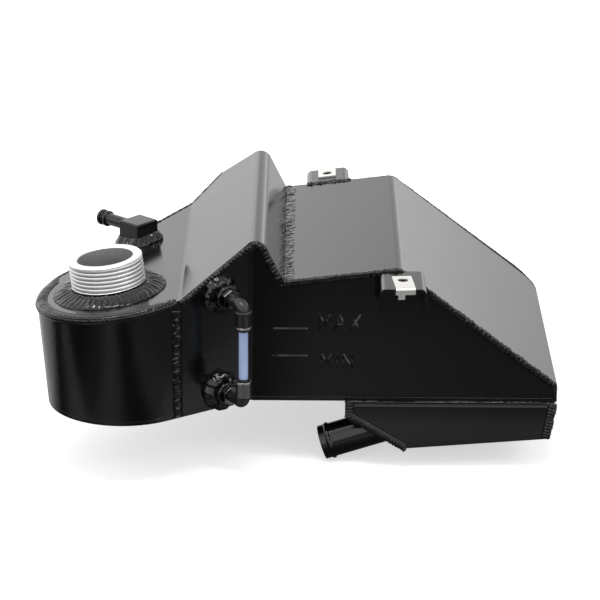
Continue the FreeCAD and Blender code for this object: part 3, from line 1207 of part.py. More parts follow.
def rightRoof(x):
    return roofHeight(max(x, size("valleyPlace")))


upwards = Vector(0, 0, 1)
forwards = Vector(0, -1, 0)
ridgeEnd = size("valleyPlace") + 0.1
slopeEnd = size("nearLength") - size("endEdge") / 4
farBend = -size("farBendPlace") - 0.1
cornerBead = cornerSection(size("edgeBead"), size("edgeCrown"))
lowBead = sideSection(size("sheetThick") / 2, size("edgeBead"), size("edgeCrown"))

# Rim bead: a band over the left top's edge, from the front seam round the end to the far bend
edges = []
outside = rollShape(rimLevel, -size("rimCrown"))
inside = rollShape(rimLevel, size("rimBead"))
for line in (outside, inside):
    edges.append(Part.LineSegment(line["seam"], line["front"]).toShape())
    edges.append(Part.Arc(line["front"], line["frontMiddle"], line["left"]).toShape())
    edges.append(Part.Arc(line["left"], line["rearMiddle"], line["rear"]).toShape())
    edges.append(Part.LineSegment(line["rear"], line["corner"]).toShape())
edges.append(Part.LineSegment(outside["seam"], inside["seam"]).toShape())
edges.append(Part.LineSegment(outside["corner"], inside["corner"]).toShape())
band = Part.Face(Part.Wire(Part.sortEdges(edges)[0])).extrude(Vector(0, 0, 2 * rimLevel))
left, middle, right = -float(clear), -size("foldPlace"), size("ridgePlace")
section = [Vector(x, -float(clear), roofHeight(x) + size("rimCrown")) for x in (left, middle, right)]
section += [Vector(value(x), -float(clear), value(z)) for x, z in (underRidge, underFold)]
section.append(Vector(left, -float(clear), roofHeight(left) - size("sheetThick") / cos(angle("topTilt"))))
sheetBand = Part.Face(Part.makePolygon(section + section[:1])).extrude(Vector(0, 2 * float(clear), 0))
addBead("rim_weld", band.common(sheetBand), leftTop.Placement,
        ["left_top_plate", "vent_block", "vent_weld", "front_seam_weld"])
bead("near_ramp_weld", leftTop, roofEdge(-size("foldPlace") - 1.9, -1, False), upwards, lowBead,
     joins=["left_top_plate", "near_wall", "upper_bung_weld", "front_seam_weld", "rim_weld"])
bead("near_ridge_weld", leftTop, roofEdge(1, ridgeEnd, False), upwards, lowBead,
     joins=["left_top_plate", "right_top_plate", "near_wall", "near_ramp_weld"])
bead("far_ramp_weld", leftTop, roofEdge(farBend, ridgeEnd, True), upwards, lowBead,
     joins=["left_top_plate", "right_top_plate", "far_wall", "round_end_wall", "rim_weld"])
bead("near_slope_weld", rightTop, roofEdge(0, slopeEnd, False, rightRoof), upwards, cornerBead,
     joins=["left_top_plate", "right_top_plate", "near_wall", "near_bracket", "valley_weld", "near_ridge_weld"])
bead("far_slope_weld", rightTop, roofEdge(0, slopeEnd, True, rightRoof), upwards, cornerBead,
     joins=["left_top_plate", "right_top_plate", "far_wall", "far_bracket", "valley_weld", "far_ramp_weld"])
bead("near_corner_weld", nearWall, lambda found: upright(found, size("nearLength"), 0), forwards,
     cornerBead, joins=["near_wall", "far_wall", "right_top_plate", "near_slope_weld", "bottom_plate"])

# The lower box is closed along its front edges
sumpFront = -size("sumpProud")


def sumpEdge(startX, startZ, endX, endZ):
    """Chooses the lower box's front edge that runs between two corners."""
    def wanted(edge):
        if not all(near(vertex.Y, sumpFront) for vertex in edge.Vertexes):
            return False
        middle = edge.valueAt((edge.FirstParameter + edge.LastParameter) / 2)
        return edge.Length > 5 and startX - 0.1 < middle.x < endX + 0.1 \
            and min(startZ, endZ) - 0.1 < middle.z < max(startZ, endZ) + 0.1
    return wanted


left, deep, right = -size("sumpStep"), -size("sumpDeep"), -size("sumpShallow")
sumpBead = cornerSection(size("sumpBead"), size("sumpCrown"))
for label, wanted, joins in (
        ("sump_left_weld", sumpEdge(size("sumpLeft"), left, size("sumpLeft"), 0), []),
        ("sump_slant_weld", sumpEdge(size("sumpLeft") + 1, left, size("sumpDeepPlace") - 1, deep),
         ["sump_left_weld"]),
        ("sump_right_weld", sumpEdge(value(sumpFoot), right, value(sumpRight), 0), [])):
    bead(label, sump, wanted, forwards, sumpBead, joins=["sump_tray"] + joins)

# Outlet weld: a tapered ring on the slanted side of the lower box, round the tilted pipe
dip, lean = radians(value(slant)), angle("outletTilt")
pipeOut = Vector(-cos(lean), 0, -sin(lean))
slantOut = Vector(-sin(dip), 0, -cos(dip))
pipeEnd = Vector(size("outletEndPlace"), size("outletSide"), -size("outletEndDrop"))
leftCorner = Vector(size("sumpLeft"), size("outletSide"), -size("sumpStep"))
stretch = 1 / pipeOut.dot(slantOut)
meet = pipeEnd - pipeOut * ((pipeEnd - leftCorner).dot(slantOut) * stretch)
outlines = []
for height, reach in ((0, size("outletWeld")), (size("outletWeldHeight"), size("outletWeldEdge"))):
    radius = size("outletOuter") / 2 + reach
    outline = Part.Wire(Part.Ellipse(Vector(), radius * stretch, radius).toShape())
    outline.Placement = Placement(meet + pipeOut * height * stretch, Rotation(Vector(0, 1, 0), value(slant)))
    outlines.append(outline)
pipe = Part.makeCylinder(size("outletOuter") / 2, size("outletLength"), pipeEnd, pipeOut.negative())
addBead("outlet_weld", Part.makeLoft(outlines, True, True).cut(pipe), sump.Placement, ["sump_slant_weld"])

# Bracket welds: a fillet down the outer corner of each bracket's left leg
leg = size("bracketBead")
for side in ("near", "far"):
    weld = newBody(side + "_bracket_weld")
    profile = newSketch(weld, side + "BracketWeldSection", "XY_Plane")
    profile.setExpression("AttachmentOffset.Base.z", "-Sizes.bracketDrop")
    way = "-1" if side == "near" else "1"
    polygon(profile, [
        ("-Sizes.bracketWidth / 2", "0"),
        ("-Sizes.bracketWidth / 2 - Sizes.bracketBead", "0"),
        ("-Sizes.bracketWidth / 2", f"{way} * Sizes.bracketBead"),
    ])
    pad(weld, side + "BracketWeldBar", profile, "Sizes.bracketDrop - Sizes.bracketBend")
    if side == "near":
        put(weld, "Sizes.bracketPlace", "0", "Sizes.bracketLevel")
    else:
        put(weld, "Sizes.farBracketPlace", "Sizes.tankDepth", farTop, leanAxis, tilt)

# Every object is checked, and each piece is written to its own file
doc.recompute()
for item in doc.Objects:
    if any(word in item.State for word in ("Invalid", "Error")):
        raise RuntimeError(f"{item.Name} failed: {item.State}")
pieces = [item for item in doc.Objects if item.isDerivedFrom("PartDesign::Body")] + features
for piece in pieces:
    shape = piece.Shape
    if shape.isNull() or not shape.isValid() or len(shape.Solids) != 1:
        raise RuntimeError(f"{piece.Label} is not one valid solid")
for piece in pieces:
    piece.Shape.exportStep(f"parts/{piece.Label}.step")
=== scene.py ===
from math import atan2, ceil, cos, pi, radians, sin, tan

import bmesh
import bpy
from mathutils import Matrix, Vector


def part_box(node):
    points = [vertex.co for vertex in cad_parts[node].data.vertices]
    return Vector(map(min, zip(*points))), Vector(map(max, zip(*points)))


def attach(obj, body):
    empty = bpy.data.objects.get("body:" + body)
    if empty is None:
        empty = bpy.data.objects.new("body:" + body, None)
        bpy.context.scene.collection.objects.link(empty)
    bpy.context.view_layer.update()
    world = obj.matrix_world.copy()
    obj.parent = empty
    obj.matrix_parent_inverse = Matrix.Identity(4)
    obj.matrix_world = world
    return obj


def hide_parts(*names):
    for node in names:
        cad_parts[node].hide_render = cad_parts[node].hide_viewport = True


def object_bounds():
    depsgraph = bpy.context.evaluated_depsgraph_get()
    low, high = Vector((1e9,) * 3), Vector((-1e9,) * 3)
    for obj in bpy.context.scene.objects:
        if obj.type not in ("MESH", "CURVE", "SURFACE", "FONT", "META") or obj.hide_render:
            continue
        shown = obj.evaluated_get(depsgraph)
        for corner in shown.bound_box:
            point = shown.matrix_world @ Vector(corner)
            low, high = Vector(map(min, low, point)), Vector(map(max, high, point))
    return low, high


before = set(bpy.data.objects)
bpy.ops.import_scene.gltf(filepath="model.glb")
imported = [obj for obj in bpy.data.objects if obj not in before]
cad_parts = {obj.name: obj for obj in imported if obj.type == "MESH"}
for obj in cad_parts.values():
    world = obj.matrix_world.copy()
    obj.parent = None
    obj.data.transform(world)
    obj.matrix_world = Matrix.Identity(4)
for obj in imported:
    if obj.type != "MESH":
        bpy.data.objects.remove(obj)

# Coolant degas bottle: folded and welded aluminium sheet under gloss black powder coat, with a bare
# turned filler neck, a sight tube between two elbows, a vent nipple, a hose outlet and two brackets.
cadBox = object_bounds()
print("frame loaded", len(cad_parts), "nodes")


tankOrigin = (101.9, -22.0, 90.1)


def tankPoint(*place):
    # millimetres from the near bend, the near face and the underside, to metres in the shared frame
    return Vector([number - start for number, start in zip(place, tankOrigin)]) / 1000


def colour(code):
    shares = [int(code[place:place + 2], 16) / 255 for place in (1, 3, 5)]
    return [s / 12.92 if s <= 0.04045 else ((s + 0.055) / 1.055) ** 2.4 for s in shares] + [1.0]


def newObject(name, data):
    made = bpy.data.objects.new(name, data)
    bpy.context.scene.collection.objects.link(made)
    return made


def addNode(tree, kind, inputs=None, **settings):
    # an input is a value, a socket, or a node, of which the first output in use is meant
    node = tree.nodes.new(kind)
    for name, setting in settings.items():
        setattr(node, name, setting)
    for key, source in (inputs or {}).items():
        if isinstance(source, bpy.types.Node):
            source = next(socket for socket in source.outputs if socket.enabled)
        if isinstance(source, bpy.types.NodeSocket):
            tree.links.new(source, node.inputs[key])
        else:
            node.inputs[key].default_value = source
    return node


def newFinish(name, inputs, look):
    # look: the grain's size and detail, how it is turned and stretched, the range of roughness that
    # it gives, and the depth that it has
    material = bpy.data.materials.new(name)
    material.use_nodes = True
    tree = material.node_tree
    shader = tree.nodes["Principled BSDF"]
    for key, setting in inputs.items():
        shader.inputs[key].default_value = setting
    where = addNode(tree, "ShaderNodeTexCoord").outputs["Object"]
    if "stretch" in look:
        where = addNode(tree, "ShaderNodeMapping", {
            "Vector": where, "Rotation": look.get("turn", (0, 0, 0)), "Scale": look["stretch"]})
    grain = addNode(tree, "ShaderNodeTexNoise", {
        "Vector": where, "Scale": 1 / look["size"], "Detail": look["detail"]})
    if "spread" in look:
        spread = addNode(tree, "ShaderNodeMapRange", {
            "Value": grain, "To Min": look["spread"][0], "To Max": look["spread"][1]})
        tree.links.new(spread.outputs["Result"], shader.inputs["Roughness"])
    if "depth" in look:
        bump = addNode(tree, "ShaderNodeBump", {
            "Height": grain, "Strength": look["strength"], "Distance": look["depth"]})
        tree.links.new(bump.outputs["Normal"], shader.inputs["Normal"])
    return material, tree, shader, grain


# Materials. Grain is read on Object coordinates, with its size in metres.

# Powder coat on aluminium: baked polyester powder, black and glossy, with a faint orange peel and a
# slight haze that only break up the edges of what it mirrors
coatLook = {"size": 0.0016, "detail": 1.0, "strength": 0.35, "depth": 0.000006,
            "haze": 0.035, "hazeDetail": 3.0, "sheen": (0.12, 0.2)}
glossPowderCoat, tree, shader, grain = newFinish("glossPowderCoat", {
    "Base Color": colour("#070708"), "Roughness": 0.16, "IOR": 1.5}, coatLook)
where = addNode(tree, "ShaderNodeTexCoord").outputs["Object"]
haze = addNode(tree, "ShaderNodeTexNoise", {
    "Vector": where, "Scale": 1 / coatLook["haze"], "Detail": coatLook["hazeDetail"]})
spread = addNode(tree, "ShaderNodeMapRange", {
    "Value": haze, "To Min": coatLook["sheen"][0], "To Max": coatLook["sheen"][1]})
tree.links.new(spread.outputs["Result"], shader.inputs["Roughness"])

# The same coat over a weld: it fills the ripples a little and stays glossy, so each ripple glints
coatedWeld = newFinish("coatedWeld", {"Base Color": colour("#060607"), "Roughness": 0.12, "IOR": 1.5}, {
    "size": 0.0007, "detail": 2.0, "strength": 0.4, "depth": 0.00005})[0]

# Turned aluminium: bare metal off the lathe, bright, with fine tool rings round the neck's axis, half
# a millimetre wide. The bore is a little rougher, and its base colour is darker as painted shade
# inside the neck
toolRings = {"size": 1.0, "detail": 2.0, "turn": (0, radians(7), 0), "stretch": (60, 60, 1 / 0.0005),
             "strength": 0.5, "depth": 0.00003}
turnedAluminium, shadedBoreAluminium = [newFinish(name, {
    "Base Color": colour(base), "Metallic": 1.0, "Roughness": spread[0]}, {**toolRings, "spread": spread})[0]
    for name, base, spread in (("turnedAluminium", "#e4e4e6", (0.46, 0.6)),
                               ("shadedBoreAluminium", "#b4b4b6", (0.45, 0.65)))]

# Nickel plated brass: satin and pale on the end rings, polished on the studs, where its base colour is
# darkened as painted shade for the dark surroundings that they mirror
satinNickel, shadedStudNickel = [newFinish(name, {
    "Base Color": colour(base), "Metallic": 1.0, "Roughness": spread[0]}, {
        "size": 0.0004, "detail": 2.0, "spread": spread})[0]
    for name, base, spread in (("satinNickel", "#e6e2df", (0.16, 0.3)),
                               ("shadedStudNickel", "#6c6b6a", (0.05, 0.12)))]

# Moulded nylon: black fitting plastic, satin, with a very fine spark-eroded grain
mouldedNylon = newFinish("mouldedNylon", {"Base Color": colour("#141416"), "Roughness": 0.32, "IOR": 1.53}, {
    "size": 0.00025, "detail": 1.0, "strength": 0.4, "depth": 0.000012})[0]

# Nitrile seal: dull black rubber
nitrileSeal = newFinish("nitrileSeal", {"Base Color": colour("#101010"), "Roughness": 0.6, "IOR": 1.52}, {
    "size": 0.0006, "detail": 2.0, "spread": (0.5, 0.7)})[0]

# Polyurethane tube: drawn clear tube, faintly blue and milky, so it glows rather than shows what
# is behind it
tubeLook = {"base": "#aebfdf", "deep": "#91a4ca", "size": 0.004, "detail": 2.0, "stretch": (1, 1, 0.12)}
polyurethaneTube, tree, shader, milk = newFinish("polyurethaneTube", {
    "Base Color": colour(tubeLook["base"]), "Roughness": 0.16, "IOR": 1.5, "Transmission Weight": 0.3,
    "Subsurface Weight": 0.2, "Subsurface Radius": (0.002, 0.002, 0.003)}, tubeLook)
tint = addNode(tree, "ShaderNodeMix", {
    "Factor": milk, "A": colour(tubeLook["deep"]), "B": colour(tubeLook["base"])}, data_type="RGBA")
tree.links.new(tint.outputs["Result"], shader.inputs["Base Color"])

# Zinc plate on spring steel: pale bright plating with faint drawn streaks
zincPlate = newFinish("zincPlate", {"Base Color": colour("#dedcd8"), "Metallic": 0.8, "Roughness": 0.32}, {
    "size": 0.0004, "detail": 3.0, "stretch": (1, 0.08, 1), "spread": (0.2, 0.4)})[0]
print("materials made")


def addPiece(name, mesh, material, body="bottle", nodes=()):
    piece = newObject(name, mesh)
    mesh.materials.clear()
    mesh.materials.append(material)
    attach(piece, body)
    if nodes:
        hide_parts(*nodes)
    return piece


def plainMesh(obj):
    # the evaluated object as a plain mesh, then the object without its modifiers
    mesh = bpy.data.meshes.new_from_object(obj.evaluated_get(bpy.context.evaluated_depsgraph_get()))
    obj.modifiers.clear()
    return mesh


def shadeSmooth(mesh, sharpAngle):
    mesh.polygons.foreach_set("use_smooth", [True] * len(mesh.polygons))
    mesh.set_sharp_from_angle(angle=radians(sharpAngle))


softLook = {"merge": 0.000002, "flat": 0.35, "sharp": 28, "steps": 2, "weight": 100}


def soften(node, edge):
    # a copy of the CAD node: merged, its flat faces joined up, its edges rounded, edge in millimetres
    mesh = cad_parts[node].data.copy()
    shell = bmesh.new()
    shell.from_mesh(mesh)
    bmesh.ops.remove_doubles(shell, verts=shell.verts, dist=softLook["merge"])
    bmesh.ops.dissolve_limit(shell, angle_limit=radians(softLook["flat"]), verts=shell.verts,
                             edges=shell.edges)
    shell.to_mesh(mesh)
    shell.free()
    shadeSmooth(mesh, softLook["sharp"])
    holder = newObject(node + "Draft", mesh)
    if edge:
        bevel = holder.modifiers.new("softEdges", "BEVEL")
        bevel.width = edge / 1000
        bevel.segments = softLook["steps"]
        bevel.limit_method = "ANGLE"
        bevel.angle_limit = radians(softLook["sharp"])
        bevel.use_clamp_overlap = True
    even = holder.modifiers.new("evenShading", "WEIGHTED_NORMAL")
    even.keep_sharp = not edge
    even.weight = softLook["weight"]
    bpy.context.view_layer.update()
    done = plainMesh(holder)
    bpy.data.objects.remove(holder)
    return done


# Pieces that keep the CAD shape: their material and slot, and for each node the piece's name and the
# rounding of its edges in millimetres
keptShapes = [
    (glossPowderCoat, "powder_coat", {
        "near_wall": ("nearWallSheet", 0.4), "round_end_wall": ("roundEndSheet", 0),
        "far_wall": ("farWallSheet", 0.4), "bottom_plate": ("bottomSheet", 0.4),
        "left_top_plate": ("leftTopSheet", 0.4), "right_top_plate": ("rightTopSheet", 0.4),
        "sump_tray": ("lowerBoxSheet", 0.4), "outlet_pipe": ("outletPipe", 0.3),
        "vent_block": ("ventBlock", 0.3), "vent_nipple": ("ventNipple", 0.2),
        "upper_bung": ("upperBung", 0.3), "lower_bung": ("lowerBung", 0.3),
        "near_bracket": ("nearBracketSheet", 0.5), "far_bracket": ("farBracketSheet", 0.5)}),
    # the studs take the darkened nickel, painted shade
    (shadedStudNickel, "plated_brass", {"upper_stud": ("upperStud", 0.5), "lower_stud": ("lowerStud", 0.5)}),
    (satinNickel, "plated_brass", {
        "upper_end_ring": ("upperEndRing", 0.15), "lower_end_ring": ("lowerEndRing", 0.15)}),
    (mouldedNylon, "fitting_plastic", {
        "upper_release_ring": ("upperReleaseRing", 0.15), "lower_release_ring": ("lowerReleaseRing", 0.15)}),
    (nitrileSeal, "seal_rubber", {"upper_o_ring": ("upperSeal", 0), "lower_o_ring": ("lowerSeal", 0)}),
    (polyurethaneTube, "clear_tube", {"sight_tube": ("sightTube", 0.2)}),
    (zincPlate, "zinc_plate", {"near_clip_nut": ("nearClipNut", 0.2), "far_clip_nut": ("farClipNut", 0.2)}),
]
for material, slotName, nodes in keptShapes:
    for node, (name, edge) in nodes.items():
        body = node if node.endswith("release_ring") else "bottle"
        addPiece(name, soften(node, edge), material, body, [node])
print("sheets, turned parts and fittings softened")

# The roof's line in the X Z plane and the round end's line in plan, in millimetres
roof = {"fold": (-45.8, 83.5), "ridge": 7.0, "valley": 22.8, "slope": 100.75, "end": 208.7, "depth": 208.0,
        "tilt": 7.0, "ramp": 33.2, "steep": 63.3, "fall": 37.45, "ridgeRadius": 8.0, "foldRadius": 7.0}
tiltRun, rampRun = tan(radians(roof["tilt"])), tan(radians(roof["ramp"]))
steepRun, fallRun = tan(radians(roof["steep"])), tan(radians(roof["fall"]))
ridgeLevel = roof["fold"][1] + (roof["ridge"] - roof["fold"][0]) * rampRun
valleyLevel = ridgeLevel - (roof["valley"] - roof["ridge"]) * steepRun
slopeLevel = valleyLevel + (roof["slope"] - roof["valley"]) * tiltRun
endLevel = slopeLevel - (roof["end"] - roof["slope"]) * fallRun


def leaning(angle):
    # a direction in the X Z plane, by its degrees up from the X axis
    return Vector((cos(radians(angle)), 0, sin(radians(angle))))


tiltUp, rampUp = leaning(90 + roof["tilt"]), leaning(90 + roof["ramp"])


def flatLevel(x):
    return roof["fold"][1] + (x - roof["fold"][0]) * tiltRun


def rampLevel(x):
    return roof["fold"][1] + (x - roof["fold"][0]) * rampRun if x > roof["fold"][0] else flatLevel(x)


def roundedLine(corners, radii, step=1.5):
    # a line through corners, each inner corner replaced by an arc of its radius
    line = [Vector(corners[0])]
    for before, corner, after, radius in zip(corners, corners[1:], corners[2:], radii):
        back = (Vector(before) - Vector(corner)).normalized()
        on = (Vector(after) - Vector(corner)).normalized()
        half = back.angle(on) / 2
        reach = radius / tan(half)
        centre = Vector(corner) + (back + on).normalized() * radius / sin(half)
        first = (Vector(corner) + back * reach - centre).normalized()
        last = (Vector(corner) + on * reach - centre).normalized()
        count = max(3, ceil(radius * (pi - 2 * half) / step))
        line += [centre + first.slerp(last, part / count) * radius for part in range(count + 1)]
    line.append(Vector(corners[-1]))
    return line


# reach, front and rear are each a size at the floor and one 100 mm up; level is the roof's at the neck
roundEnd = {"turn": 35.0, "seamBack": 58.0, "level": flatLevel(-94.4), "bend": (-25.2, 208.0),
            "reach": (137.0, 145.6), "front": (52.0, 54.9), "rear": (109.8, 69.4), "rise": 100.0, "parts": 40}
turn = radians(roundEnd["turn"])
wallOut = Vector((sin(turn), -cos(turn), 0))  # the angled near wall faces this way
wallBack = Vector((-cos(turn), -sin(turn), 0))


def planLine(level):
    # the outline's points and outward directions, from the front seam round the end to the far bend
    share = level / roundEnd["rise"]
    reach, front, rear = [low + share * (high - low) for low, high in
                          (roundEnd["reach"], roundEnd["front"], roundEnd["rear"])]
    centre = Vector((front - reach, (front - (reach - front) * sin(turn)) / cos(turn), 0))
    rearCentre = Vector((rear - reach, centre.y, 0))
    corner = Vector((*roundEnd["bend"], 0))
    toCentre = rearCentre - corner
    heading = atan2(toCentre.y, toCentre.x) - atan2(rear, (toCentre.length ** 2 - rear ** 2) ** 0.5)
    farOut = Vector((sin(heading), -cos(heading), 0))
    line = [(wallBack * roundEnd["seamBack"], wallOut)]
    for middle, radius, start, end, firstPart in (
            (centre, front, atan2(wallOut.y, wallOut.x), -pi, 0),
            (rearCentre, rear, pi, atan2(farOut.y, farOut.x), 1)):
        for part in range(firstPart, roundEnd["parts"] + 1):
            spoke = start + (end - start) * part / roundEnd["parts"]
            out = Vector((cos(spoke), sin(spoke), 0))
            line.append((middle + out * radius, out))
    line.append((corner, farOut))
    return line


# Weld beads. A plain bead is laid first: a curved strip between two feet, with a root in the metal.
# One Geometry Nodes tree then gives every bead its ripples: round crests between sharp grooves, which
# lag behind at the feet, are uneven in strength and sit on a lumpy, straying bead.
rippleLook = {"roundness": 2.4, "weakest": 0.5, "detail": 2.0}


def newTree(name, sockets, result, fields):
    # named inputs, the result's name, and fields that are read from the mesh's own attributes
    tree = bpy.data.node_groups.new(name, "GeometryNodeTree")
    for socket, kind in sockets.items():
        tree.interface.new_socket(name=socket, in_out="INPUT", socket_type="NodeSocket" + kind)
    tree.interface.new_socket(name=result, in_out="OUTPUT", socket_type="NodeSocketGeometry")
    found = [addNode(tree, "GeometryNodeInputNamedAttribute", {"Name": field},
                     data_type="FLOAT_VECTOR" if field == "outward" else "FLOAT") for field in fields]
    return tree, addNode(tree, "NodeGroupInput").outputs, found


rippleTree, given, (along, across, free, loose, outward) = newTree("weldRipples", {
    "Bead": "Geometry", "Pitch": "Float", "Depth": "Float", "Lag": "Float", "Slant": "Float",
    "Stray": "Float", "Lump": "Float", "Lump Size": "Float", "Seed": "Int", "Finish": "Material"},
    "Bead", ("along", "across", "free", "loose", "outward"))
place = addNode(rippleTree, "GeometryNodeInputPosition")
cell = addNode(rippleTree, "ShaderNodeMath", {0: 1.0, 1: given["Lump Size"]}, operation="DIVIDE")
shake = addNode(rippleTree, "ShaderNodeTexNoise", {
    "Vector": place, "W": given["Seed"], "Scale": cell, "Detail": rippleLook["detail"]},
    noise_dimensions="4D")
shift = addNode(rippleTree, "ShaderNodeVectorMath", {
    0: shake.outputs["Color"], 1: (0.5, 0.5, 0.5)}, operation="SUBTRACT")
# each step's name, what it does, and the values, nodes or earlier steps that it takes
steps = {}
for name, operation, *sources in (
        ("square", "MULTIPLY", across, across), ("curved", "MULTIPLY_ADD", "square", given["Lag"], along),
        ("slanted", "MULTIPLY_ADD", across, given["Slant"], "curved"),
        ("uneven", "MULTIPLY_ADD", shake, given["Pitch"], "slanted"),
        ("phase", "DIVIDE", "uneven", given["Pitch"]), ("number", "FLOOR", "phase"),
        ("part", "FRACT", "phase"), ("swing", "MULTIPLY_ADD", "part", 2.0, -1.0),
        ("flank", "ABSOLUTE", "swing"),
        ("bowl", "POWER", "flank", rippleLook["roundness"]), ("crest", "SUBTRACT", 1.0, "bowl"),
        ("lump", "SUBTRACT", shake, 0.5), ("lumpLift", "MULTIPLY", "lump", given["Lump"]),
        ("strayScale", "MULTIPLY", given["Stray"], loose)):
    steps[name] = addNode(rippleTree, "ShaderNodeMath", {
        number: steps[source] if isinstance(source, str) else source
        for number, source in enumerate(sources)}, operation=operation)
chance = addNode(rippleTree, "ShaderNodeTexWhiteNoise", {
    "Vector": given["Seed"], "W": steps["number"]}, noise_dimensions="4D")
strength = addNode(rippleTree, "ShaderNodeMapRange", {
    "Value": chance, "To Min": rippleLook["weakest"], "To Max": 1.0})
rise = addNode(rippleTree, "ShaderNodeMath", {0: steps["crest"], 1: strength}, operation="MULTIPLY")
lift = addNode(rippleTree, "ShaderNodeMath", {
    0: rise, 1: given["Depth"], 2: steps["lumpLift"]}, operation="MULTIPLY_ADD")
held = addNode(rippleTree, "ShaderNodeMath", {0: lift, 1: free}, operation="MULTIPLY")
push = addNode(rippleTree, "ShaderNodeVectorMath", {0: outward, "Scale": held}, operation="SCALE")
strayPush = addNode(rippleTree, "ShaderNodeVectorMath", {
    0: shift, "Scale": steps["strayScale"]}, operation="SCALE")
total = addNode(rippleTree, "ShaderNodeVectorMath", {0: push, 1: strayPush}, operation="ADD")
moved = addNode(rippleTree, "GeometryNodeSetPosition", {"Geometry": given["Bead"], "Offset": total})
smooth = addNode(rippleTree, "GeometryNodeSetShadeSmooth", {"Geometry": moved})
real = addNode(rippleTree, "GeometryNodeRealizeInstances", {"Geometry": smooth})
dressed = addNode(rippleTree, "GeometryNodeSetMaterial", {"Geometry": real, "Material": given["Finish"]})
addNode(rippleTree, "NodeGroupOutput", {"Bead": dressed})


def markedMesh(name, verts, faces, marks):
    # a closed mesh with its faces outwards, and the numbers that its tree reads at each point
    mesh = bpy.data.meshes.new(name)
    mesh.from_pydata(verts, [], faces)
    shell = bmesh.new()
    shell.from_mesh(mesh)
    bmesh.ops.recalc_face_normals(shell, faces=shell.faces)
    shell.to_mesh(mesh)
    shell.free()
    for key, numbers in marks.items():
        field = mesh.attributes.new(key, "FLOAT_VECTOR" if key == "outward" else "FLOAT", "POINT")
        field.data.foreach_set("vector" if key == "outward" else "value", numbers)
    return mesh


def runTree(mesh, tree, inputs, marks):
    # the mesh as its tree leaves it, without the numbers that only the tree needs
    draft = newObject(mesh.name + "Draft", mesh)
    modifier = draft.modifiers.new(tree.name, "NODES")
    modifier.node_group = tree
    for item in tree.interface.items_tree:
        if item.item_type == "SOCKET" and item.in_out == "INPUT" and item.name in inputs:
            modifier[item.identifier] = inputs[item.name]
    bpy.context.view_layer.update()
    done = plainMesh(draft)
    for key in marks:
        done.attributes.remove(done.attributes[key])
    bpy.data.objects.remove(draft)
    return done


def layBead(name, path, look, node, closed=False, fine=6, rows=10):
    # path: foot, other foot, crest and root at each place, in tank millimetres; look: millimetres
    spots = [[Vector(point) for point in spot] for spot in path]
    if closed:
        spots.append(spots[0])
    lengths = [0.0]
    for one, other in zip(spots, spots[1:]):
        lengths.append(lengths[-1] + (other[2] - one[2]).length)
    count = max(4, round(lengths[-1] / look["pitch"] * fine))
    verts, faces, values = [], [], {"along": [], "across": [], "free": [], "loose": [], "outward": []}
    rings = count if closed else count + 1
    piece = 0
    for ring in range(rings):
        distance = lengths[-1] * ring / count
        while piece < len(lengths) - 2 and lengths[piece + 1] < distance:
            piece += 1
        share = (distance - lengths[piece]) / max(lengths[piece + 1] - lengths[piece], 1e-9)
        foot, otherFoot, top, root = [a.lerp(b, share) for a, b in zip(spots[piece], spots[piece + 1])]
        bulge = (top - (foot + otherFoot) / 2) * 4
        for row in range(rows + 2):
            step = min(row / rows, 1)
            inner = row > rows
            point = root if inner else foot.lerp(otherFoot, step) + bulge * step * (1 - step)
            verts.append(tankPoint(*point))
            values["along"].append(distance / 1000)
            values["across"].append(0.0 if inner else 2 * step - 1)
            # the ripples fade out at the feet
            values["free"].append(0.0 if inner else 1 - (2 * step - 1) ** 6)
            values["loose"].append(0.0 if inner else 1.0)
            values["outward"].extend((0, 0, 1) if inner else (point - root).normalized())
    wide = rows + 2
    for ring in range(rings if closed else rings - 1):
        here, there = ring * wide, (ring + 1) % rings * wide
        for row in range(wide):
            beside = (row + 1) % wide
            faces.append((here + row, here + beside, there + beside, there + row))
    if not closed:
        faces.append(tuple(range(wide)))
        faces.append(tuple(range((rings - 1) * wide, rings * wide)))
    amounts = {label: look.get(key, usual) / 1000 for label, key, usual in (
        ("Pitch", "pitch", 0), ("Depth", "depth", 0), ("Lag", "lag", 0), ("Slant", "slant", 0),
        ("Stray", "stray", 0.5), ("Lump", "lump", 0.5), ("Lump Size", "lumpSize", 5))}
    done = runTree(markedMesh(name, verts, faces, values), rippleTree, {
        **amounts, "Seed": look["seed"], "Finish": coatedWeld}, values)
    return addPiece(name, done, coatedWeld, "bottle", node)


def cornerSpot(point, up, side, leg, drop, crown, down=None):
    # over an outer corner: one foot on the upper face, one down the side
    down = down or -up
    crest = point + (up + side).normalized() * crown
    inward = (-side - up * (-side).dot(up)).normalized()
    return (point + inward * leg, point + down * drop, crest, point + (inward * leg + down * drop) * 0.5)


def facePath(line, look):
    # on upright faces, from below the upper sheet's edge; line: points on the edge, each with its
    # face's outward direction
    spots = []
    for number, (point, side) in enumerate(line):
        before, after = line[max(number - 1, 0)][0], line[min(number + 1, len(line) - 1)][0]
        drop = (after - before).normalized().cross(side)
        if drop.z > 0:
            drop = -drop
        middle = point + drop * (look["start"] + look["width"] / 2)
        spots.append((point + drop * look["start"], point + drop * (look["start"] + look["width"]),
                      middle + side * look["crown"], middle - side * look["root"]))
    return spots


near, far = Vector((0, -1, 0)), Vector((0, 1, 0))

# Rim bead round the round end: wide, with slanted ripples
rimLook = {"pitch": 2.8, "depth": 0.8, "lag": 1.6, "slant": 2.6, "stray": 0.3, "lump": 0.2, "seed": 3,
           "leg": 7.6, "drop": 4.2, "crown": 0.2, "inset": 1.35, "foldGap": 0.002,
           "thin": 0.16, "thinEnd": 5, "thinOver": 12}
line = planLine(roundEnd["level"])
rearTangent, farBend = line[-2][0], line[-1][0]
foldShare = (roof["fold"][0] - rearTangent.x) / (farBend.x - rearTangent.x)
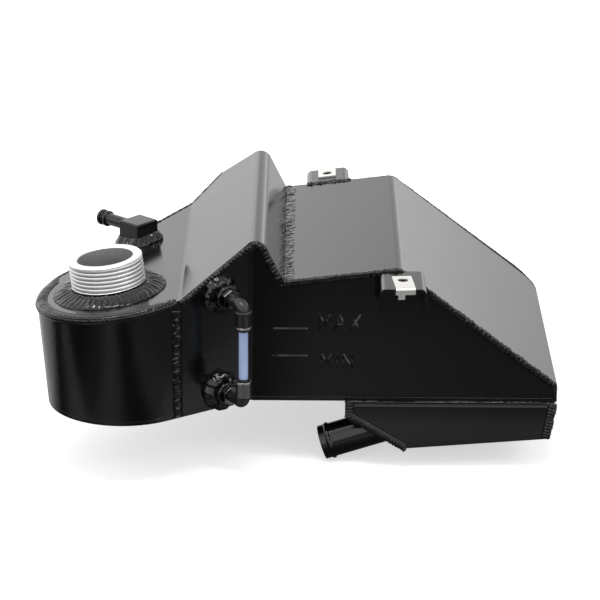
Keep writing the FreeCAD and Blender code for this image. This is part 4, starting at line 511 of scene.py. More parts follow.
# one more point on each side of the roof's fold
for place, share in ((-1, foldShare + rimLook["foldGap"]), (-2, foldShare - rimLook["foldGap"])):
    line.insert(place, (rearTangent.lerp(farBend, share), line[-1][1]))
path = []
for number, (point, out) in enumerate(line):
    up = rampUp if point.x > roof["fold"][0] else tiltUp
    # behind the vent block the bead thins to a line along the far edge
    size = max(rimLook["thin"], min(1.0, (len(line) - number - rimLook["thinEnd"]) / rimLook["thinOver"]))
    corner = Vector((point.x, point.y, rampLevel(point.x)))
    spot = cornerSpot(corner, up, out, rimLook["leg"] * size, rimLook["drop"] * size, 0, Vector((0, 0, -1)))
    crest = corner + up * rimLook["crown"] * size - out * rimLook["inset"] * size
    path.append((spot[0], spot[1], crest, spot[3]))
layBead("rimWeld", path, rimLook, ["rim_weld"])

# Beads under the folded edges of the left top: one along the angled wall and over the ridge, and one
# on the far side
leftLook = {"pitch": 2.8, "depth": 0.7, "lag": 0.8, "stray": 1.0, "lump": 1.6, "lumpSize": 5, "seed": 5,
            "start": 0.25, "width": 5.2, "crown": 0.9, "root": 1.5, "parts": 12, "spacing": 4.7, "dip": 0.6,
            "ridgeFrom": -12.0, "nearFrom": 1.0, "farFrom": -11.0, "valleyGap": 1.0}
ridgeLine = roundedLine([
    (leftLook["ridgeFrom"], rampLevel(leftLook["ridgeFrom"])), (roof["ridge"], ridgeLevel),
    (roof["valley"] - leftLook["valleyGap"], valleyLevel + leftLook["valleyGap"] * steepRun)],
    [roof["ridgeRadius"]])
line = []
for part in range(leftLook["parts"], 0, -1):
    point = wallBack * part * leftLook["spacing"]
    line.append((Vector((point.x, point.y, rampLevel(point.x))), wallOut))
line.append((Vector((0, 0, rampLevel(0) - leftLook["dip"])), (wallOut + near).normalized()))
line += [(Vector((point.x, 0, point.y)), near) for point in ridgeLine if point.x > leftLook["nearFrom"]]
layBead("nearLeftWeld", facePath(line, leftLook), leftLook, ["near_ramp_weld", "near_ridge_weld"])
bend = roundEnd["bend"][0]
line = [(Vector((bend, roof["depth"], rampLevel(bend))), far)]
line += [(Vector((point.x, roof["depth"], point.y)), far) for point in ridgeLine
         if point.x > leftLook["farFrom"]]
leftLook.update(seed=6, crown=0.3, depth=0.3, lump=0.4, stray=0.3)
layBead("farLeftWeld", facePath(line, leftLook), leftLook, ["far_ramp_weld"])

# Beads over the edges of the right top, from the valley down the slope
slopeLook = {"pitch": 3.6, "depth": 1.1, "lag": 0.9, "stray": 1.4, "lump": 2.4, "lumpSize": 5, "seed": 8,
             "leg": 0.9, "drop": 4.8, "crown": 0.5, "lower": 0.9, "proud": 1.9, "below": 0.9,
             "endGap": 1.2, "farCorner": 16.0, "parts": 8, "dropFade": 10, "crownFade": 5}
farCorner = slopeLook["farCorner"]
slopeLine = roundedLine([
    (roof["valley"], valleyLevel), (roof["slope"], slopeLevel),
    (roof["end"] - slopeLook["endGap"], endLevel + slopeLook["endGap"] * fallRun)], [roof["foldRadius"]])
for name, y, side, node, seed in (("nearSlopeWeld", 0, near, "near_slope_weld", 8),
                                  ("farSlopeWeld", roof["depth"], far, "far_slope_weld", 9)):
    path = []
    for number, point in enumerate(slopeLine):
        if side is far and point.x > roof["end"] - farCorner:
            break
        before, after = slopeLine[max(number - 1, 0)], slopeLine[min(number + 1, len(slopeLine) - 1)]
        way = (after - before).normalized()
        corner, up = Vector((point.x, y, point.y)), Vector((-way.y, 0, way.x))
        path.append(cornerSpot(corner, up, side, slopeLook["leg"], slopeLook["drop"], slopeLook["crown"]))
        if side is near:
            # the near bead bulges out just under the sheet's edge
            crest = corner + side * slopeLook["proud"] - up * slopeLook["below"]
            path[-1] = (path[-1][0], path[-1][1], crest, path[-1][3])
        else:
            # the far bead stays below the sheet
            path[-1] = tuple(spot - Vector((0, 0, slopeLook["lower"])) for spot in path[-1])
    if side is far:
        # round the far corner of the end wall
        slopeUp = leaning(90 - roof["fall"])
        for part in range(slopeLook["parts"] + 1):
            spoke = pi / 2 * part / slopeLook["parts"]
            out = Vector((sin(spoke), cos(spoke), 0))
            x = roof["end"] - farCorner + farCorner * out.x
            corner = Vector((x, roof["depth"] - farCorner + farCorner * out.y,
                             endLevel + (roof["end"] - x) * fallRun))
            drop = slopeLook["drop"] * (1 - part / slopeLook["dropFade"])
            crown = slopeLook["crown"] * (1 - part / slopeLook["crownFade"])
            path.append(cornerSpot(corner, slopeUp, out, slopeLook["leg"], drop, crown, Vector((0, 0, -1))))
        slopeLook.update(depth=0.2, lump=0.3, stray=0.3)
    slopeLook["seed"] = seed
    layBead(name, path, slopeLook, [node])

# Valley bead: broad and lumpy, across the whole tank
valleyLook = {"pitch": 3.4, "depth": 0.9, "lag": 2.6, "stray": 2.6, "lump": 2.0, "lumpSize": 4, "seed": 12,
              "steepLeg": 0.4, "flatLeg": 6.8, "crown": 0.1, "root": 1.2, "step": 4}
steepWay, flatWay = leaning(180 - roof["steep"]), leaning(roof["tilt"])
out = (steepWay + flatWay).normalized()
path = []
for y in range(0, int(roof["depth"]) + 1, valleyLook["step"]):
    corner = Vector((roof["valley"], y, valleyLevel))
    foot = corner + steepWay * valleyLook["steepLeg"]
    otherFoot = corner + flatWay * valleyLook["flatLeg"]
    path.append((foot, otherFoot, (foot + otherFoot) / 2 + out * valleyLook["crown"],
                 corner - out * valleyLook["root"]))
layBead("valleyWeld", path, valleyLook, ["valley_weld"])

# Front seam bead on the angled wall
seamLook = {"pitch": 3.0, "depth": 0.6, "lag": 1.2, "stray": 1.5, "lump": 1.3, "lumpSize": 4, "seed": 15,
            "width": 8.0, "crown": 0.9, "root": 1.5, "levels": (1, 78, 4)}
path = []
for level in range(*seamLook["levels"]):
    middle = wallBack * roundEnd["seamBack"] + Vector((0, 0, level))
    path.append((middle - wallBack * seamLook["width"] / 2, middle + wallBack * seamLook["width"] / 2,
                 middle + wallOut * seamLook["crown"], middle - wallOut * seamLook["root"]))
layBead("frontSeamWeld", path, seamLook, ["front_seam_weld"])

# Corner bead at the end of the near face, and the lower box's front corners
cornerLook = {"pitch": 2.0, "depth": 0.28, "lag": 0.6, "stray": 0.15, "lump": 0.1, "seed": 18,
              "leg": 2.8, "drop": 2.8, "crown": -0.35, "bottom": 0.5, "topGap": 2.5}
path = [cornerSpot(Vector((roof["end"], 0, level)), Vector((1, 0, 0)), near, cornerLook["leg"],
                   cornerLook["drop"], cornerLook["crown"])
        for level in (cornerLook["bottom"], endLevel - cornerLook["topGap"])]
layBead("nearCornerWeld", path, cornerLook, ["near_corner_weld"])
lowerBox = {"left": 66.0, "front": -6.0, "step": -9.5, "deepPlace": 104.0, "deep": -32.5, "foot": 203.4,
            "shallow": -24.6, "right": 207.6, "top": 1.6, "rightTop": 0.5, "slantX": 38.0, "slantZ": 23.0}
slantDown = Vector((-lowerBox["slantZ"], 0, -lowerBox["slantX"])).normalized()
rightOut = Vector((-lowerBox["shallow"], 0, lowerBox["foot"] - lowerBox["right"])).normalized()
boxLook = {"pitch": 2.2, "depth": 1.0, "lag": 0.3, "stray": 0.4, "lump": 0.4, "seed": 21,
           "leg": 3.4, "drop": 5.0, "crown": 0.3, "past": 1.5, "blob": 0.9,
           "tip": 1.2, "tipLeg": 1.0, "tipCrown": -0.5}
for name, start, end, up, node, seed in (
        ("lowerBoxLeftWeld", (lowerBox["left"], lowerBox["top"]), (lowerBox["left"], lowerBox["step"]),
         Vector((-1, 0, 0)), "sump_left_weld", 21),
        ("lowerBoxSlantWeld", (lowerBox["left"], lowerBox["step"]), (lowerBox["deepPlace"], lowerBox["deep"]),
         slantDown, "sump_slant_weld", 22),
        ("lowerBoxRightWeld", (lowerBox["right"], lowerBox["rightTop"]),
         (lowerBox["foot"], lowerBox["shallow"]), rightOut, "sump_right_weld", 23)):
    boxLook["seed"] = seed
    path = [cornerSpot(Vector((x, lowerBox["front"], z)), up, near, boxLook["leg"], boxLook["drop"],
                       boxLook["crown"]) for x, z in (start, end)]
    if name == "lowerBoxSlantWeld":
        # the bead ends in a blob just past the lowest corner
        way = Vector((end[0] - start[0], 0, end[1] - start[1])).normalized()
        beyond = Vector((end[0], lowerBox["front"], end[1])) + way * boxLook["past"]
        path.append(cornerSpot(beyond, up, near, boxLook["leg"], boxLook["leg"], boxLook["blob"]))
        path.append(cornerSpot(beyond + way * boxLook["tip"], up, near, boxLook["tipLeg"], boxLook["tipLeg"],
                               boxLook["tipCrown"]))
    layBead(name, path, boxLook, [node])

# Bead along the ledge where the lower box meets the near face. Its spots are the two feet, the crest
# and the root, each by its y and its height over the ledge
ledgeLook = {"pitch": 5.0, "depth": 0.15, "lag": 0.6, "stray": 0.9, "lump": 0.7, "lumpSize": 8, "seed": 24,
             "spots": [(0.1, 0.6), (-6.05, -0.1), (-3.6, 0.9), (-3.0, -2.0)], "places": (67, 207, 5)}
path = [[Vector((x, y, lowerBox["top"] + rise)) for y, rise in ledgeLook["spots"]]
        for x in range(*ledgeLook["places"])]
layBead("lowerBoxTopWeld", path, ledgeLook, [])

# Bead at the far bracket's foot. Its spots are by their distance inwards and their height over the roof
footLook = {"pitch": 3.4, "depth": 0.8, "lag": 0.8, "stray": 1.4, "lump": 1.8, "lumpSize": 5, "seed": 26,
            "spots": [(3.0, 0), (0, 1.0), (1.3, 0.9), (0.6, -0.8)], "parts": 10}
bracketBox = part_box("far_bracket")
path = []
for part in range(footLook["parts"] + 1):
    share = part / footLook["parts"]
    x = tankOrigin[0] + 1000 * (bracketBox[0][0] + (bracketBox[1][0] - bracketBox[0][0]) * share)
    corner = Vector((x, roof["depth"], valleyLevel + (x - roof["valley"]) * tiltRun))
    path.append([corner - far * inwards + tiltUp * up for inwards, up in footLook["spots"]])
layBead("farBracketFootWeld", path, footLook, [])


def ringPath(centre, axis, start, spots, count):
    # a bead round an axis: spots are (radius, height) of the two feet, the crest and the root
    side = start.normalized()
    other = axis.cross(side)
    path = []
    for part in range(count):
        spoke = side * cos(2 * pi * part / count) + other * sin(2 * pi * part / count)
        path.append([centre + spoke * radius + axis * height for radius, height in spots])
    return path


# Weld ring round the filler neck: the broadest bead, with ripples like the spokes of a wheel
neck = {"x": -94.4, "y": 5.1, "thread": 25.0, "bore": 18.9, "height": 24.0, "edge": 0.8, "flange": 28.5,
        "flangeThick": 4.6, "relief": 1.2, "pitch": 2.8, "depth": 0.34, "flat": 0.4, "groove": 0.92,
        "seat": 3.0, "spigot": 22.9, "rows": 84, "startRows": 4, "endRows": 2, "spokes": 192, "coatedRows": 8}
neckBase = Vector((neck["x"], neck["y"], flatLevel(neck["x"])))
neckLook = {"pitch": 4.0, "depth": 1.2, "lag": 1.8, "slant": 1.2, "stray": 1.6, "lump": 2.2, "lumpSize": 8,
            "seed": 30, "spots": [(25.4, 4.8), (38.4, -0.1), (33.0, 3.2), (28.0, 0.0)]}
layBead("neckWeld", ringPath(neckBase, tiltUp, leaning(roof["tilt"]), neckLook["spots"], 72),
        neckLook, ["neck_weld"], closed=True, rows=14)

# Lumpy rings round the two bungs of the sight gauge
gauge = {"back": 24.2, "upper": 82.0, "lower": 13.3}
bungLook = {"pitch": 9.0, "depth": 1.3, "lag": 1.2, "stray": 4.0, "lump": 4.8, "lumpSize": 6.5, "seed": 33,
            "spots": [(7.9, 5.8), (13.6, -0.2), (11.4, 3.8), (8.0, 0.2)]}
for name, level, node, seed in (("upperBungWeld", gauge["upper"], "upper_bung_weld", 33),
                                ("lowerBungWeld", gauge["lower"], "lower_bung_weld", 36)):
    bungLook["seed"] = seed
    centre = wallBack * gauge["back"] + Vector((0, 0, level))
    layBead(name, ringPath(centre, wallOut, Vector((0, 0, 1)), bungLook["spots"], 36), bungLook, [node],
            closed=True, rows=12, fine=9)

# Weld round the vent block
vent = {"x": -80.4, "y": 102.8, "turn": 42.0, "width": 20.0, "length": 18.0}
ventBase = Vector((vent["x"], vent["y"], flatLevel(vent["x"])))
ventWay = Vector((-cos(radians(vent["turn"])), sin(radians(vent["turn"])), 0))
ventSide = Vector((sin(radians(vent["turn"])), cos(radians(vent["turn"])), 0))
ventLook = {"pitch": 6.4, "depth": 2.2, "lag": 1.2, "stray": 1.2, "lump": 1.6, "lumpSize": 6, "seed": 40,
            "up": 6.0, "out": 4.6, "sink": 0.2, "hollow": 0.35, "root": 1.0, "places": (0.04, 0.3, 0.7, 0.96)}
path = []
corners = [ventWay * first * vent["length"] / 2 + ventSide * second * vent["width"] / 2
           for first, second in ((1, 1), (-1, 1), (-1, -1), (1, -1))]
for here, there in zip(corners, corners[1:] + corners[:1]):
    out = (here + there).normalized()
    for share in ventLook["places"]:
        point = ventBase + here.lerp(there, share)
        point.z = flatLevel(point.x)
        foot = point + Vector((0, 0, ventLook["up"]))
        otherFoot = point + out * ventLook["out"]
        otherFoot.z = flatLevel(otherFoot.x) - ventLook["sink"]
        middle = (foot + otherFoot) / 2 - (out + Vector((0, 0, 1))) * ventLook["hollow"]
        path.append((foot, otherFoot, middle, point - out * ventLook["root"]))
layBead("ventWeld", path, ventLook, ["vent_weld"], closed=True, fine=8)

# Weld round the outlet where it meets the slanted side of the lower box. Its spots are by their
# distance from the pipe's outside and their height over that side
outlet = {"end": (49.4, 12.4, -35.7), "tilt": 18.0, "outer": 11.75}
pipeOut, pipeUp = leaning(180 + outlet["tilt"]), leaning(90 + outlet["tilt"])
onSlant = Vector((lowerBox["left"], 0, lowerBox["step"]))
outletLook = {"pitch": 3.2, "depth": 0.5, "lag": 0.6, "stray": 0.5, "lump": 0.6, "seed": 44,
              "spots": [(-0.1, 2.8), (3.4, -0.1), (1.6, 1.5), (-0.4, -0.6)], "parts": 48}
path = []
for part in range(outletLook["parts"]):
    angle = 2 * pi * part / outletLook["parts"]
    spoke = pipeUp * cos(angle) + far * sin(angle)
    spots = []
    for beyond, rise in outletLook["spots"]:
        start = Vector(outlet["end"]) + spoke * (outlet["outer"] + beyond)
        run = (start - onSlant).dot(slantDown) / pipeOut.dot(slantDown)
        spots.append(start - pipeOut * run + slantDown * rise)
    path.append(spots)
layBead("outletWeld", path, outletLook, ["outlet_weld"], closed=True)

# Small fillets down the brackets' outer corners
for node, name in (("near_bracket_weld", "nearBracketWeld"), ("far_bracket_weld", "farBracketWeld")):
    addPiece(name, soften(node, 0.3), coatedWeld, "bottle", [node])
print("weld beads laid")

# Filler neck: a turned profile on a grid, with its thread cut by a Geometry Nodes tree
threadTree, given, (height, roundShare, cut, outward) = newTree("neckThread", {
    "Blank": "Geometry", "Pitch": "Float", "Depth": "Float", "Flat": "Float", "Finish": "Material"},
    "Neck", ("height", "round", "cut", "outward"))
turns = addNode(threadTree, "ShaderNodeMath", {0: height, 1: given["Pitch"]}, operation="DIVIDE")
helix = addNode(threadTree, "ShaderNodeMath", {0: turns, 1: roundShare}, operation="ADD")
part = addNode(threadTree, "ShaderNodeMath", {0: helix}, operation="FRACT")
swing = addNode(threadTree, "ShaderNodeMath", {0: part, 1: 2.0, 2: -1.0}, operation="MULTIPLY_ADD")
wave = addNode(threadTree, "ShaderNodeMath", {0: swing}, operation="ABSOLUTE")
groove = addNode(threadTree, "ShaderNodeMapRange", {
    "Value": wave, "From Min": given["Flat"], "From Max": neck["groove"]})
bite = addNode(threadTree, "ShaderNodeMath", {0: groove, 1: cut}, operation="MULTIPLY")
depth = addNode(threadTree, "ShaderNodeMath", {0: bite, 1: given["Depth"]}, operation="MULTIPLY")
inwards = addNode(threadTree, "ShaderNodeMath", {0: depth, 1: -1.0}, operation="MULTIPLY")
push = addNode(threadTree, "ShaderNodeVectorMath", {0: outward, "Scale": inwards}, operation="SCALE")
moved = addNode(threadTree, "GeometryNodeSetPosition", {"Geometry": given["Blank"], "Offset": push})
real = addNode(threadTree, "GeometryNodeRealizeInstances", {"Geometry": moved})
dressed = addNode(threadTree, "GeometryNodeSetMaterial", {"Geometry": real, "Material": given["Finish"]})
addNode(threadTree, "NodeGroupOutput", {"Neck": dressed})

threadStart, threadEnd = neck["flangeThick"] + neck["relief"], neck["height"] - neck["edge"]
profile = [(neck["bore"], -neck["seat"], 0), (neck["bore"], threadEnd, 0),
           (neck["bore"] + neck["edge"], neck["height"], 0),
           (neck["thread"] - neck["edge"], neck["height"], 0)]
for row in range(neck["rows"] + 1):
    # how deep the thread is cut here: it runs in at the top and out at the bottom
    share = min(1, row / neck["startRows"], (neck["rows"] - row) / neck["endRows"])
    profile.append((neck["thread"], threadEnd - row / neck["rows"] * (threadEnd - threadStart), share))
core = neck["thread"] - neck["depth"]
profile += [(core, threadStart - 0.1, 0), (core, neck["flangeThick"], 0),
            (neck["flange"] - neck["edge"], neck["flangeThick"], 0),
            (neck["flange"], neck["flangeThick"] - neck["edge"], 0), (neck["flange"], 0, 0),
            (neck["spigot"], 0, 0), (neck["spigot"], -neck["seat"], 0)]
tiltTurn = Matrix.Rotation(-radians(roof["tilt"]), 3, "Y")
verts, faces, values = [], [], {"height": [], "round": [], "cut": [], "outward": []}
for spoke in range(neck["spokes"]):
    angle = 2 * pi * spoke / neck["spokes"]
    direction = Vector((cos(angle), sin(angle), 0))
    for radius, level, share in profile:
        verts.append(tankPoint(*(neckBase + tiltTurn @ (direction * radius + Vector((0, 0, level))))))
        values["height"].append(level / 1000)
        values["round"].append(spoke / neck["spokes"])
        values["cut"].append(share)
        values["outward"].extend(tiltTurn @ direction)
wide = len(profile)
for spoke in range(neck["spokes"]):
    here, there = spoke * wide, (spoke + 1) % neck["spokes"] * wide
    for row in range(wide):
        beside = (row + 1) % wide
        faces.append((here + row, there + row, there + beside, here + beside))
mesh = runTree(markedMesh("neckBlank", verts, faces, values), threadTree, {
    "Pitch": neck["pitch"] / 1000, "Depth": neck["depth"] / 1000, "Flat": neck["flat"],
    "Finish": turnedAluminium}, values)
shadeSmooth(mesh, 24)
addPiece("fillerNeck", mesh, turnedAluminium, "bottle", ["filler_neck"])
# the bore gets the darker aluminium, painted shade inside the neck, and the flange under the thread is coated
# with the tank
mesh.materials.append(shadedBoreAluminium)
mesh.materials.append(coatedWeld)
for face in mesh.polygons:
    row = face.index % wide
    if row in (0, wide - 1):
        face.material_index = 1
    elif row > wide - neck["coatedRows"]:
        face.material_index = 2
print("neck turned and threaded")


def addSkin(shell, rings):
    # a closed skin through rings of points, which start and end at a pole of one point
    loops = [[shell.verts.new(tankPoint(*point)) for point in ring] for ring in rings]
    for one, other in zip(loops, loops[1:]):
        count = max(len(one), len(other))
        for number in range(count):
            beside = (number + 1) % count
            if len(one) == 1:
                shell.faces.new((one[0], other[number], other[beside]))
            elif len(other) == 1:
                shell.faces.new((one[number], other[0], one[beside]))
            else:
                shell.faces.new((one[number], other[number], other[beside], one[beside]))


def skinMesh(name, shell, sharpAngle):
    bmesh.ops.recalc_face_normals(shell, faces=shell.faces)
    mesh = bpy.data.meshes.new(name)
    shell.to_mesh(mesh)
    shell.free()
    shadeSmooth(mesh, sharpAngle)
    return mesh


def ringAt(centre, side, other, radius, count=40):
    if radius == 0:
        return [centre]
    return [centre + (side * cos(2 * pi * part / count) + other * sin(2 * pi * part / count)) * radius
            for part in range(count)]


# Elbows of the sight gauge: a bent leg from the stud, then a tube socket with a rounded shoulder.
# A leg's place is its distance from the wall, a socket's its distance from the leg's axis.
elbow = {"reach": 28.5, "stud": 15.1, "bend": 5.2, "foot": 3.8, "crown": 4.6, "neck": 4.2, "drop": 6.0,
         "straight": 2.0, "taper": 0.1, "parts": 10, "sharp": 44}
socketLine = [(0, 3.4), (4.6, 3.2), (5.5, 3.3), (5.9, 3.8), (5.9, 5.3), (5.6, 5.8), (5.3, 6.2), (5.3, 13.9),
              (4.9, 14.4), (4.4, 14.4), (4.4, 8.7), (3.33, 8.7), (3.33, 7.7), (0, 7.7)]
for name, level, way in (("upperElbow", gauge["upper"], -1), ("lowerElbow", gauge["lower"], 1)):
    axis = wallBack * gauge["back"] + wallOut * elbow["reach"] + Vector((0, 0, level))
    down = Vector((0, 0, way))
    bend = elbow["bend"]
    places = [(axis - wallOut * (elbow["reach"] - elbow["stud"]), wallOut, elbow["foot"]),
              (axis - wallOut * (bend + elbow["straight"]), wallOut, elbow["foot"] + elbow["taper"])]
    for part in range(elbow["parts"] + 1):
        spoke = pi / 2 * part / elbow["parts"]
        place = axis + (down - wallOut) * bend + wallOut * bend * sin(spoke) - down * bend * cos(spoke)
        swell = sin(2 * spoke) * (elbow["crown"] - elbow["neck"])
        places.append((place, wallOut * cos(spoke) + down * sin(spoke), elbow["neck"] + swell))
    places.append((axis + down * elbow["drop"], down, elbow["neck"]))
    side = wallOut.cross(down)
    rings = [[places[0][0]]]
    rings += [ringAt(place, side, heading.cross(side), radius) for place, heading, radius in places]
    rings.append([places[-1][0]])
    shell = bmesh.new()
    addSkin(shell, rings)
    addSkin(shell, [ringAt(axis + down * height, wallOut, side, radius) for radius, height in socketLine])
    addPiece(name, skinMesh(name, shell, elbow["sharp"]), mouldedNylon, "bottle",
             [name.replace("Elbow", "_elbow")])
print("elbows moulded")

# Level marks on the near face: two lines and the words MAX and MIN, in narrow raised strokes. A word
# has its foot, its height and each letter's place and width, in millimetres
marks = {"wide": 1.3, "proud": 0.8, "sink": 0.15, "cap": 0.5, "taper": 0.35, "slant": 0.9, "parts": 6,
         "sharp": 30}
letters = {
    "M": [((0, 0), (0, 1)), ((0, 1), (0.5, 0.3)), ((0.5, 0.3), (1, 1)), ((1, 1), (1, 0))],
    "A": [((0, 0), (0.5, 1)), ((0.5, 1), (1, 0)), ((0.2, 0.38), (0.8, 0.38))],
    "X": [((0, 0), (1, 1)), ((0, 1), (1, 0))],
    "I": [((0.5, 0), (0.5, 1))],
    "N": [((0, 0), (0, 1)), ((0, 1), (1, 0)), ((1, 0), (1, 1))],
}
strokes = [((15.9, 52.6), (38.5, 52.6)), ((15.9, 33.0), (38.5, 33.0))]
for word, low, tall, places in (("MAX", 51.9, 10.6, ((47.2, 7.0), (57.4, 7.4), (67.8, 6.8))),
                                ("MIN", 24.6, 9.6, ((49.0, 6.2), (58.2, 2.4), (63.4, 6.0)))):
    for letter, (x, wideLetter) in zip(word, places):
        for (x0, z0), (x1, z1) in letters[letter]:
            strokes.append(((x + x0 * wideLetter, low + z0 * tall), (x + x1 * wideLetter, low + z1 * tall)))
shell = bmesh.new()
for (x0, z0), (x1, z1) in strokes:
    way = Vector((x1 - x0, 0, z1 - z0)).normalized()
    side = way.cross(near)
    rings = []
    for x, z, reach, size in ((x0, z0, -marks["cap"], marks["taper"]), (x0, z0, 0, 1), (x1, z1, 0, 1),
                              (x1, z1, marks["cap"], marks["taper"])):
        centre = Vector((x, 0, z)) + way * reach
        half = side * marks["wide"] / 2 * size
        ring = [centre - half - near * marks["sink"]]
        for step in range(marks["parts"] + 1):
            share = step / marks["parts"]
            height = min(share / marks["slant"], (1 - share) / (1 - marks["slant"]))
            ring.append(centre + half * (2 * share - 1) + near * height * marks["proud"] * size)
        ring.append(centre + half - near * marks["sink"])
        rings.append(ring)
    first, last = [sum(rings[end], Vector()) / len(ring) for end in (0, -1)]
    addSkin(shell, [[first]] + rings + [[last]])
addPiece("levelMarks", skinMesh("levelMarks", shell, marks["sharp"]), glossPowderCoat, "bottle", ())
print("level marks raised")

# Studio: a pale floor under the tank, a soft world, a soft box overhead, one at the side, the camera
floorLook = {"gap": 0.0002, "reach": 9.0, "stripesFrom": -0.6, "grey": 0.6, "glow": 0.56}
floorLevel = cadBox[0][2] - floorLook["gap"]
floorMesh = bpy.data.meshes.new("studioFloor")
reach = floorLook["reach"]
floorMesh.from_pydata([(-reach, -reach, floorLevel), (reach, -reach, floorLevel), (reach, reach, floorLevel),
                       (-reach, reach, floorLevel)], [], [(0, 1, 2, 3)])
floor = newObject("studioFloor", floorMesh)
# White paper sweep: the camera sees it white with the tank's soft shadow. In the gloss it is dark in
# front of the tank, like the dark half of a studio, in stripes from left to right that fade forwards,
# with a lighter strip close to the tank and lighter ground behind it and past its round end. Under the
# tank the gloss view is darkened, a painted shadow.
floorMaterial = bpy.data.materials.new("paperSweep")
floorMaterial.use_nodes = True
tree = floorMaterial.node_tree
tree.nodes.clear()
ray = addNode(tree, "ShaderNodeLightPath").outputs
where = addNode(tree, "ShaderNodeTexCoord").outputs["Object"]
axes = addNode(tree, "ShaderNodeSeparateXYZ", {"Vector": where}).outputs
stripes = addNode(tree, "ShaderNodeMapRange", {
    "Value": axes["X"], "From Min": floorLook["stripesFrom"], "From Max": floorLook["stripesFrom"] + 1})
ramp = addNode(tree, "ShaderNodeValToRGB", {"Fac": stripes})
bands = [(-0.60, 0.05), (-0.37, 0.02), (-0.34, 0.09), (-0.29, 0.12), (-0.24, 0.34), (-0.21, 0.3),
         (-0.155, 0.03), (-0.10, 0.04), (-0.06, 0.24), (0.0, 0.22), (0.07, 0.14), (0.30, 0.14)]
while len(ramp.color_ramp.elements) < len(bands):
    ramp.color_ramp.elements.new(0.5)
for stop, (x, shade) in zip(ramp.color_ramp.elements, bands):
    stop.position = x - floorLook["stripesFrom"]
    stop.color = (shade, shade, shade, 1)
# each goes along an axis from one place to another, in metres, and from one strength to another
fades = {}
for name, axis, start, end, low, high, easing in (
        ("distant", "Y", -0.42, -0.2, 0.4, 1.0, "LINEAR"),
        ("leftPart", "X", -0.14, -0.06, 1.0, 0.0, "LINEAR"),
        ("closeness", "Y", -0.1, -0.058, 0.0, 0.28, "SMOOTHSTEP"),
        # painted shadow: under the tank the floor's gloss view is darkened
        ("shadowUnderTank", "Y", -0.05, 0.02, 1.0, 0.1, "SMOOTHSTEP"),
        ("behind", "Y", 0.15, 0.6, 0.0, 0.8, "SMOOTHSTEP"),
        ("besideEnd", "X", -0.3, -0.26, 0.65, 0.0, "LINEAR"),
        ("pastEnd", "Y", 0.02, 0.11, 0.0, 1.0, "SMOOTHSTEP")):
    fades[name] = addNode(tree, "ShaderNodeMapRange", {
        "Value": axes[axis], "From Min": start, "From Max": end, "To Min": low, "To Max": high},
        interpolation_type=easing)
fade = addNode(tree, "ShaderNodeMath", {0: fades["distant"], 1: fades["leftPart"]}, operation="MAXIMUM")
striped = addNode(tree, "ShaderNodeMath", {0: ramp, 1: fade}, operation="MULTIPLY")
front = addNode(tree, "ShaderNodeMath", {0: striped, 1: fades["closeness"]}, operation="ADD")
shaded = addNode(tree, "ShaderNodeMath", {
    0: front, 1: fades["shadowUnderTank"], 2: fades["behind"]}, operation="MULTIPLY_ADD")
mirrored = addNode(tree, "ShaderNodeMath", {
    0: fades["besideEnd"], 1: fades["pastEnd"], 2: shaded}, operation="MULTIPLY_ADD")
glossView = addNode(tree, "ShaderNodeEmission", {"Strength": mirrored})
paper = addNode(tree, "ShaderNodeBsdfDiffuse", {"Color": (*[floorLook["grey"]] * 3, 1)})
seen = addNode(tree, "ShaderNodeMath", {0: ray["Is Camera Ray"], 1: ray["Is Transmission Ray"]},
               operation="MAXIMUM")
whiteness = addNode(tree, "ShaderNodeMath", {0: seen, 1: floorLook["glow"]}, operation="MULTIPLY")
white = addNode(tree, "ShaderNodeEmission", {"Strength": whiteness})
lit = addNode(tree, "ShaderNodeAddShader", {0: paper, 1: white})
mixed = addNode(tree, "ShaderNodeMixShader", {0: ray["Is Glossy Ray"], 1: lit, 2: glossView})
addNode(tree, "ShaderNodeOutputMaterial", {"Surface": mixed})
floorMesh.materials.append(floorMaterial)

# White to the camera. To all other rays it is brighter behind the tank and to the far right, and
# darker below the horizon, overhead and, higher up, right of the middle
world = bpy.data.worlds.new("studio")
bpy.context.scene.world = world
world.use_nodes = True
tree = world.node_tree
tree.nodes.clear()
ray = addNode(tree, "ShaderNodeLightPath").outputs
axes = addNode(tree, "ShaderNodeSeparateXYZ", {
    "Vector": addNode(tree, "ShaderNodeTexCoord").outputs["Generated"]}).outputs
fades = {}
for name, axis, start, end, low, high, easing in (
        ("back", "Y", -0.3, 0.5, 1.4, 1.5, "SMOOTHSTEP"),
        ("upper", "Z", 0.3, 0.9, 1.0, 0.75, "SMOOTHSTEP"),
        ("horizon", "Z", 0.0, 0.06, 0.24, 1.02, "LINEAR"),
        ("sideways", "X", -0.16, 0.0, 1.1, 0.66, "SMOOTHSTEP"),
        ("raised", "Z", 0.12, 0.28, 0.0, 1.0, "SMOOTHSTEP"),
        ("glow", "X", 0.2, 0.33, 1.0, 1.2, "SMOOTHSTEP")):
    fades[name] = addNode(tree, "ShaderNodeMapRange", {
        "Value": axes[axis], "From Min": start, "From Max": end, "To Min": low, "To Max": high},
        interpolation_type=easing)
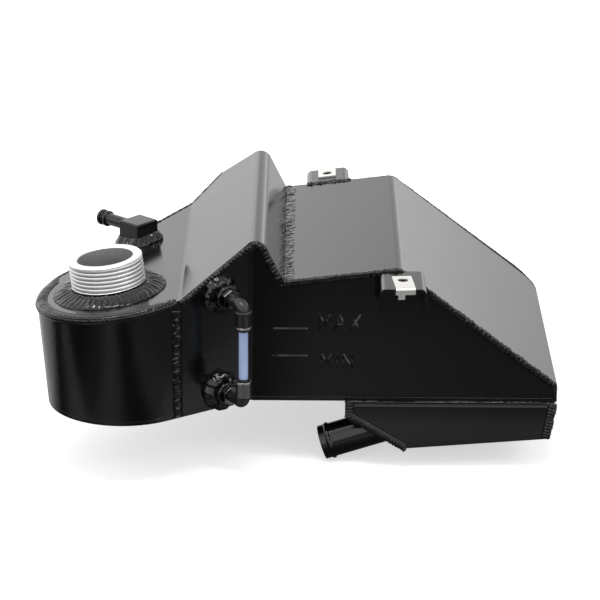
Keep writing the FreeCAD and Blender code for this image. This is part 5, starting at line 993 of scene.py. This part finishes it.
lit = addNode(tree, "ShaderNodeMix", {
    "Factor": fades["raised"], "A": 1.0, "B": fades["sideways"]}, data_type="FLOAT")
for name in ("back", "upper", "horizon", "glow"):
    lit = addNode(tree, "ShaderNodeMath", {0: lit, 1: fades[name]}, operation="MULTIPLY")
seen = addNode(tree, "ShaderNodeMath", {0: ray["Is Camera Ray"], 1: ray["Is Transmission Ray"]},
               operation="MAXIMUM")
chosen = addNode(tree, "ShaderNodeMix", {"Factor": seen, "A": lit, "B": 1.0}, data_type="FLOAT")
sky = addNode(tree, "ShaderNodeBackground", {"Color": (1, 1, 1, 1), "Strength": chosen})
addNode(tree, "ShaderNodeOutputWorld", {"Surface": sky})

softBoxes = {
    "overheadBox": {"at": (-0.25, -0.6, 1.9), "size": (1.2, 0.3), "power": 18.0},
    "sideBox": {"at": (1.3, -0.9, 1.2), "size": (0.25, 0.5), "power": 5.0},
}
for name, box in softBoxes.items():
    lamp = bpy.data.lights.new(name, "AREA")
    lamp.shape = "RECTANGLE"
    lamp.size, lamp.size_y = box["size"]
    lamp.energy = box["power"]
    holder = newObject(name, lamp)
    holder.location = box["at"]
    holder.rotation_euler = (-Vector(box["at"])).to_track_quat("-Z", "Y").to_euler()
    holder.visible_camera = False

view = {"at": (-0.064049, -1.796702, 0.640890), "pitch": 19.891658, "yaw": -0.128798, "roll": 0.320279,
        "lens": 172.629}
pitch, yaw, roll = [radians(view[key]) for key in ("pitch", "yaw", "roll")]
forward = Vector((sin(yaw) * cos(pitch), cos(yaw) * cos(pitch), -sin(pitch)))
level = Vector((cos(yaw), -sin(yaw), 0))
upright = level.cross(forward)
rightWay = level * cos(roll) + upright * sin(roll)
upWay = upright * cos(roll) - level * sin(roll)
camera = bpy.data.cameras.new("photoCamera")
camera.lens = view["lens"]
camera.sensor_width = 36.0
camera.clip_end = 60.0
holder = newObject("photoCamera", camera)
turned = Matrix((rightWay, upWay, -forward)).transposed().to_4x4()
turned.translation = Vector(view["at"])
holder.matrix_world = turned
bpy.context.scene.camera = holder
bpy.context.scene.view_settings.view_transform = "Standard"
print("studio set")
